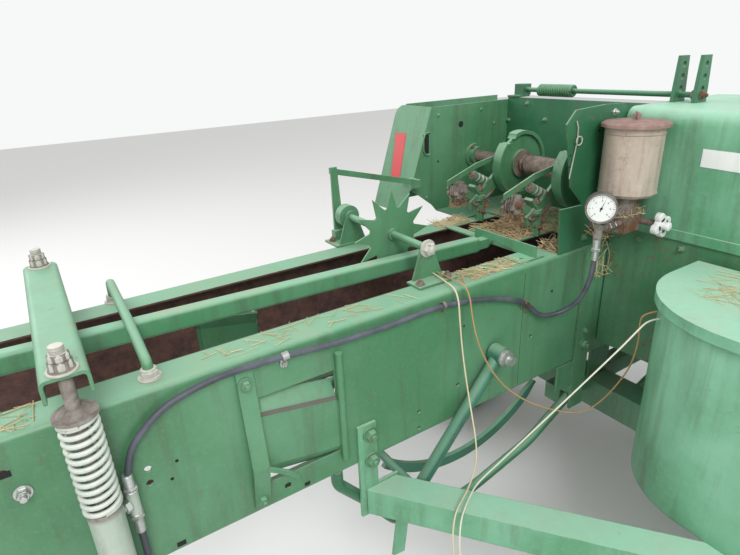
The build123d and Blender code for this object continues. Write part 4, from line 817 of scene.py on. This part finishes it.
dial = {"centre": (-203.2, -342.3, 1180), "axis": (-22, -17, 0), "radius": 34.6, "first": 45, "sweep": 270,
        "marks": 31, "markEnd": 32, "numbers": "0123456", "numberSize": 7.5, "numberRadius": 20.5,
        "longMark": (25.5, 0.55), "shortMark": (28.5, 0.3),        # inner end and half width
        "pointer": 200, "pointerEnds": (27, 8), "pointerHalf": 1.2}
centre = np.array(dial["centre"])
face = np.array(dial["axis"], float) / np.linalg.norm(dial["axis"])
dialRight = -np.cross(face, up)                # to the reader's right


# A point of the dial, turned clockwise from its foot
def onDial(turn, radius):
    angle = math.radians(turn)
    return -math.sin(angle) * radius, -math.cos(angle) * radius


def dialForm(outline, lift, thick):
    return extruded(outline, centre + face * lift, dialRight, up, thick)


# A number as a thin closed form, its outline welded to its back
def numberForm(number, turn):
    curve = bpy.data.curves.new("number", "FONT")
    curve.body, curve.size, curve.extrude = number, dial["numberSize"], 0.12
    curve.align_x, curve.align_y = "CENTER", "CENTER"
    holder = bpy.data.objects.new("number", curve)
    flat = bpy.data.meshes.new_from_object(holder)
    welded = bmesh.new()
    welded.from_mesh(flat)
    bmesh.ops.remove_doubles(welded, verts=welded.verts, dist=0.001)
    bmesh.ops.recalc_face_normals(welded, faces=welded.faces)
    welded.to_mesh(flat)
    welded.free()
    cx, cz = onDial(turn, dial["numberRadius"])
    where = np.array([v.co for v in flat.vertices])
    points = (centre + face * (0.72 + where[:, 2:3]) + dialRight * (where[:, :1] + cx)
              + up * (where[:, 1:2] + cz))
    faces = [list(p.vertices) for p in flat.polygons]
    bpy.data.objects.remove(holder)
    bpy.data.meshes.remove(flat)
    return points, faces


piece("dial_face", [turned([(0, dial["radius"]), (0.5, dial["radius"])], centre, face, 48)], "blank_plate")
dialParts = []
for index in range(dial["marks"]):
    turn = dial["first"] + dial["sweep"] * index / (dial["marks"] - 1)
    inner, width = dial["longMark"] if index % 5 == 0 else dial["shortMark"]
    (x0, z0), (x1, z1) = onDial(turn, inner), onDial(turn, dial["markEnd"])
    reach = dial["markEnd"] - inner
    sx, sz = width * (z1 - z0) / reach, -width * (x1 - x0) / reach
    bar = [(x0 - sx, z0 - sz), (x1 - sx, z1 - sz), (x1 + sx, z1 + sz), (x0 + sx, z0 + sz)]
    dialParts.append(dialForm(bar[::-1], 0.5, 0.25))
tip, tail = dial["pointerEnds"]
(px, pz), (qx, qz) = onDial(dial["pointer"], tip), onDial(dial["pointer"] + 180, tail)
norm = math.hypot(px - qx, pz - qz)
wx, wz = dial["pointerHalf"] * (pz - qz) / norm, -dial["pointerHalf"] * (px - qx) / norm
dialParts.append(dialForm([(qx - wx, qz - wz), (qx + wx, qz + wz), (px, pz)], 1.2, 0.4))
dialParts.append(turned([(0, 3), (1.6, 3), (2, 2.4)], centre + face * 0.5, face, 20))
dialParts += [numberForm(number, dial["first"] + dial["sweep"] * index / (len(dial["numbers"]) - 1))
              for index, number in enumerate(dial["numbers"])]
piece("dial_marks", dialParts, "shade_and_print_black")
print("dial made")


# Float spring's turns and the lever's bolts

floatCoil = {"start": (205, 90, 1424), "length": 136, "radius": 17.5, "wire": 3.6, "turns": 15}
coil = helixPath(floatCoil["start"], (0, 1, 0), floatCoil["radius"], floatCoil["length"], floatCoil["turns"],
                 20, 0.5)
piece("float_coil", [tubeArrays(coil, floatCoil["wire"], 10)], "green_paint", sharp=80)
clevis = boltSet((205, -330, 1424), out, 10, 5) + boltSet((205, 330, 1424), -out, 9, 4)
clevis += [turned([(0, 13), (16, 13)], (205, -322, 1424), -out, 24)]
piece("lever_bolts", clevis, "rusty_steel")


# The knotters' small springs, nuts, hooks and knives

knotter = {
    "y": 120, "stackStart": (-104, 35, 1150), "stackEnd": (-176, 35, 1187), "shaftZ": 1208,
    "discX": -239, "discZ": 1148, "teeth": 9, "toothCircle": 26,
    "beak": [(-150, 28, 1092), (-163, 24, 1086), (-178, 21, 1088), (-188, 18, 1098), (-184, 16, 1104)],
    "beakRadius": [6, 5.5, 4.6, 3.4, 2.0],
    "knife": [(-96, 20, 1128), (-120, 18, 1112), (-150, 15, 1102), (-176, 14, 1104)],
    "knifeRadius": [5, 4.6, 4.2, 3.2],
    "collars": [(40, 30, 12), (-32, 28, 10)],                      # y, radius, width
    # x, y, z of the seat, axis, radius, length of the bolt's end
    "bolts": [(-150, 28, 1136, up, 10, 5), (-239, 18, 1148, out, 9.5, 4), (-142, 17, 1062, out, 7, 3),
              (16, 22, 1188, out, 7, 3), (-90, 22, 1178, out, 7, 3)],
}
wornParts, springParts = [], []
for side in (-1, 1):
    y = side * knotter["y"]
    aside = np.array([0, y, 0], float)
    start = np.array(knotter["stackStart"], float) + aside
    end = np.array(knotter["stackEnd"], float) + aside
    length = np.linalg.norm(end - start)
    axis = (end - start) / length
    coil = helixPath(start + axis * 0.22 * length, axis, 12.2, 0.62 * length, 7, 16)
    springParts.append(tubeArrays(coil, 2.1, 8))
    wornParts += boltSet(end, axis, 10.5, 9)
    for x, across, z, way, r, stub in knotter["bolts"]:
        wornParts += boltSet((x, y + across, z), way, r, stub)
    wornParts.append(tubeArrays(np.array(knotter["beak"]) + aside, knotter["beakRadius"], 10))
    wornParts.append(tubeArrays(np.array(knotter["knife"]) + aside, knotter["knifeRadius"], 8))
    for index in range(knotter["teeth"]):
        a = 2 * math.pi * index / knotter["teeth"]
        foot = onCircle((knotter["discX"], y + 46, knotter["discZ"]), knotter["toothCircle"], a)
        wornParts.append(turned([(0, 6.5), (3, 8), (9, 7.2), (11, 4)], foot, -out, 10))
    for at, r, wide in knotter["collars"]:
        wornParts.append(turned([(0, r - 2), (2, r), (wide - 2, r), (wide, r - 2)],
                                (0, y + at, knotter["shaftZ"]), -out, 32))
piece("knotter_wear_parts", wornParts, "rusty_steel")
piece("knotter_springs", springParts, "worn_pale_nuts", sharp=80)
bearing = [turned([(0, 24), (3, 27), (14, 27), (16, 24)], (0, 331, knotter["shaftZ"]), out, 32)]
for a in np.radians([0, 120, 240]):
    bearing += boltSet(onCircle((0, 331, knotter["shaftZ"]), 33, a), out, 6.5, 4)
piece("shaft_bearing", bearing, "rusty_steel")
print("knotter details made")


# Fluid can's beads and pump fittings

pump = {"canX": -66, "canY": -318, "beadHeights": (1201, 1352), "valve": (-26, -395, 1116), "grips": 4,
        "gripCircle": 23}
canFoot = (pump["canX"], pump["canY"], 0)
beads = [ringForm([(z - 1.8, 71.4), (z, 74), (z + 1.8, 71.4), (z, 69)], canFoot, up, 64)
         for z in pump["beadHeights"]]
piece("can_beads", beads, "can_cream", sharp=80)
pumpParts = [hexNut((-146, -333, 1120), back, 15, 10), hexNut((-124, -333, 1120), back, 13, 8),
             turned([(0, 13), (8, 13)], (-191, -333, 1127), up, 6),
             turned([(0, 12.4), (6, 12.4)], (-191, -333, 1094), up, 6)]
piece("pump_fittings", pumpParts, "bare_steel")
vx, vy, vz = pump["valve"]
valve = [turned([(0, 10), (14, 12), (16, 12), (19, 8)], (vx, vy - 15, vz), out, 24)]
for quarter in range(pump["grips"]):
    seat = onCircle(pump["valve"], pump["gripCircle"], math.radians(20 + 90 * quarter))
    valve.append(turned([(0, 12.2), (1.5, 13), (14, 13), (16, 11)], seat, out, 24))
valve.append(turned([(0, 20.6), (1.5, 21.4), (14, 21.4), (16, 20)], (vx, vy, vz), out, 32))
piece("valve_handle", valve, "blank_plate", sharp=40)


# Tyres: the same form with grooves round the tread, and the wheels' nuts

tyre = {"radius": 355, "ribs": 5, "groove": 9, "grooveWidth": 9,
        # distance in from the sidewall, radius
        "wall": [(30, 190.5), (20, 205), (8, 230), (1, 248), (0, 265), (2, 285), (8, 305), (14, 325),
                 (22, 338)]}
wheels = {"left": {"y": 480, "width": 240, "disc": 464, "side": 1, "cap": 538},
          "right": {"y": -1965, "width": 190, "disc": -1949, "side": -1, "cap": -2023}}
wheelNuts = {"x": 100, "z": 355, "count": 6, "circle": 82}


# Height along the axle and radius round the tyre's section: sidewall, ribbed tread, sidewall, bore
def tyreProfile(width):
    half = width / 2
    wall = [(-half + inward, radius) for inward, radius in tyre["wall"]]
    inner, outer = -half + 30, half - 30
    pitch = (outer - inner + tyre["grooveWidth"]) / tyre["ribs"]
    deep = tyre["radius"] - tyre["groove"] - 4
    tread = []
    for rib in range(tyre["ribs"]):
        a = inner + rib * pitch
        b = a + pitch - tyre["grooveWidth"]
        crown = [tyre["radius"] - 7 * (abs(h) / half) ** 2 for h in (a, b)]
        tread += [(a, crown[0] - 2), (a + 2, crown[0]), (b - 2, crown[1]), (b, crown[1] - 2)]
        if rib < tyre["ribs"] - 1:
            tread += [(b + 1.5, deep), (b + tyre["grooveWidth"] - 1.5, deep)]
    return wall + tread + [(-h, r) for h, r in reversed(wall)]


for name, w in wheels.items():
    body = name + "_wheel"
    form = ringForm(tyreProfile(w["width"]), (wheelNuts["x"], w["y"], wheelNuts["z"]), (0, 1, 0), 96)
    made = piece(name + "_tyre_ribbed", [form], "tyre_rubber", body, 50)
    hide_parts(name + "_tyre")
    outward = np.array([0, w["side"], 0.0])
    nuts = []
    for index in range(wheelNuts["count"]):
        a = 2 * math.pi * index / wheelNuts["count"] + 0.3
        seat = onCircle((wheelNuts["x"], w["disc"], wheelNuts["z"]), wheelNuts["circle"], a)
        nuts += boltSet(seat, outward, 11, 6, 1.2)
    hubCap = [(0, 44), (10, 44), (16, 38), (18, 26)]
    nuts.append(turned(hubCap, (wheelNuts["x"], w["cap"], wheelNuts["z"]), outward, 40))
    piece(name + "_wheel_nuts", nuts, "rusty_steel", body)
print("wheels made")


# Straw caught on the case's top, round the knotters and on the lid

# patches: x range, y range, height, depth, count, spread of the upward tilt
straw = {
    "straw_on_top": {"seed": 7, "finish": "straw", "patches": [
        ((-245, -70), (-85, 88), 1033, 14, 420, 0.25), ((-60, 150), (-188, 188), 1033, 8, 260, 0.15),
        ((-210, -70), (-222, -160), 1028, 16, 240, 0.35), ((-560, -320), (-222, -160), 1028, 4, 130, 0.12),
        ((-300, -175), (160, 226), 1028, 10, 160, 0.3), ((-1200, -700), (-222, -158), 1028, 2, 36, 0.06),
        ((-1700, -1480), (-222, -158), 1028, 3, 50, 0.08)]},
    "chaff_on_top": {"seed": 8, "finish": "chaff", "long": (5, 22), "thick": 1.2, "patches": [
        ((-240, -80), (-80, 84), 1033, 6, 500, 0.1), ((-205, -75), (-218, -162), 1028, 8, 420, 0.2),
        ((-50, 120), (-180, 180), 1033, 4, 220, 0.1)]},
    "straw_on_lid": {"seed": 9, "finish": "straw", "long": (40, 150), "body": "lid", "patches": [
        ((-230, -30), (-800, -580), 1046, 2, 44, 0.04), ((-330, -90), (-1200, -850), 1046, 2, 20, 0.03)]},
    "straw_on_pump": {"seed": 10, "finish": "straw", "long": (20, 70), "thick": 0.9, "patches": [
        ((-112, -20), (-352, -290), 1137, 26, 90, 0.5)]},
    "straw_hanging": {"seed": 11, "finish": "straw", "long": (40, 130), "thick": 0.9, "patches": [
        ((-70, -4), (-262, -243), 930, 170, 26, 1.3), ((-120, -30), (-290, -250), 1066, 40, 34, 0.9)]},
    "hay_on_knotters": {"seed": 12, "finish": "chaff", "long": (8, 36), "thick": 1.1, "patches": [
        ((-262, -205), (-96, -70), 1092, 50, 150, 0.6), ((-262, -205), (144, 170), 1092, 50, 150, 0.6),
        ((-150, -96), (-94, -72), 1064, 40, 80, 0.5), ((-150, -96), (146, 168), 1064, 40, 80, 0.5)]},
}


# Strands of three points each, bent a little at the middle, in the patches and not below their height
def strawHeap(name, heap):
    draw = np.random.default_rng(heap["seed"])
    parts = []
    for (x0, x1), (y0, y1), z, deep, count, rise in heap["patches"]:
        foot = np.stack([draw.uniform(x0, x1, count), draw.uniform(y0, y1, count),
                         z + deep * draw.uniform(0, 1, count) ** 2], -1)
        heading, lift = draw.uniform(0, 2 * np.pi, count), draw.normal(0, rise, count)
        length = draw.uniform(*heap.get("long", (18, 80)), count)
        flat = np.cos(lift)
        along = np.stack([np.cos(heading) * flat, np.sin(heading) * flat, np.abs(np.sin(lift))], -1)
        bend = draw.normal(0, 0.035, (count, 3)) * length[:, None]
        size = heap.get("thick", 0.7) * draw.uniform(0.6, 1.4, count)
        for f, a, b, l, s in zip(foot, along, bend, length, size):
            path = np.array([f - a * l / 2, f + b, f + a * l / 2])
            path[:, 0] = np.clip(path[:, 0], x0 - 6, x1 + 6)
            path[:, 1] = np.clip(path[:, 1], y0 - 6, y1 + 6)
            path[:, 2] = np.clip(path[:, 2], z + 0.5, None)
            if np.linalg.norm(path[2] - path[0]) > 4 and np.linalg.norm(path[1] - path[0]) > 1:
                parts.append(tubeArrays(path, s, 4))
    piece(name, parts, heap["finish"], heap.get("body", "chassis"), 80)


for name, heap in straw.items():
    strawHeap(name, heap)
print("straw made")
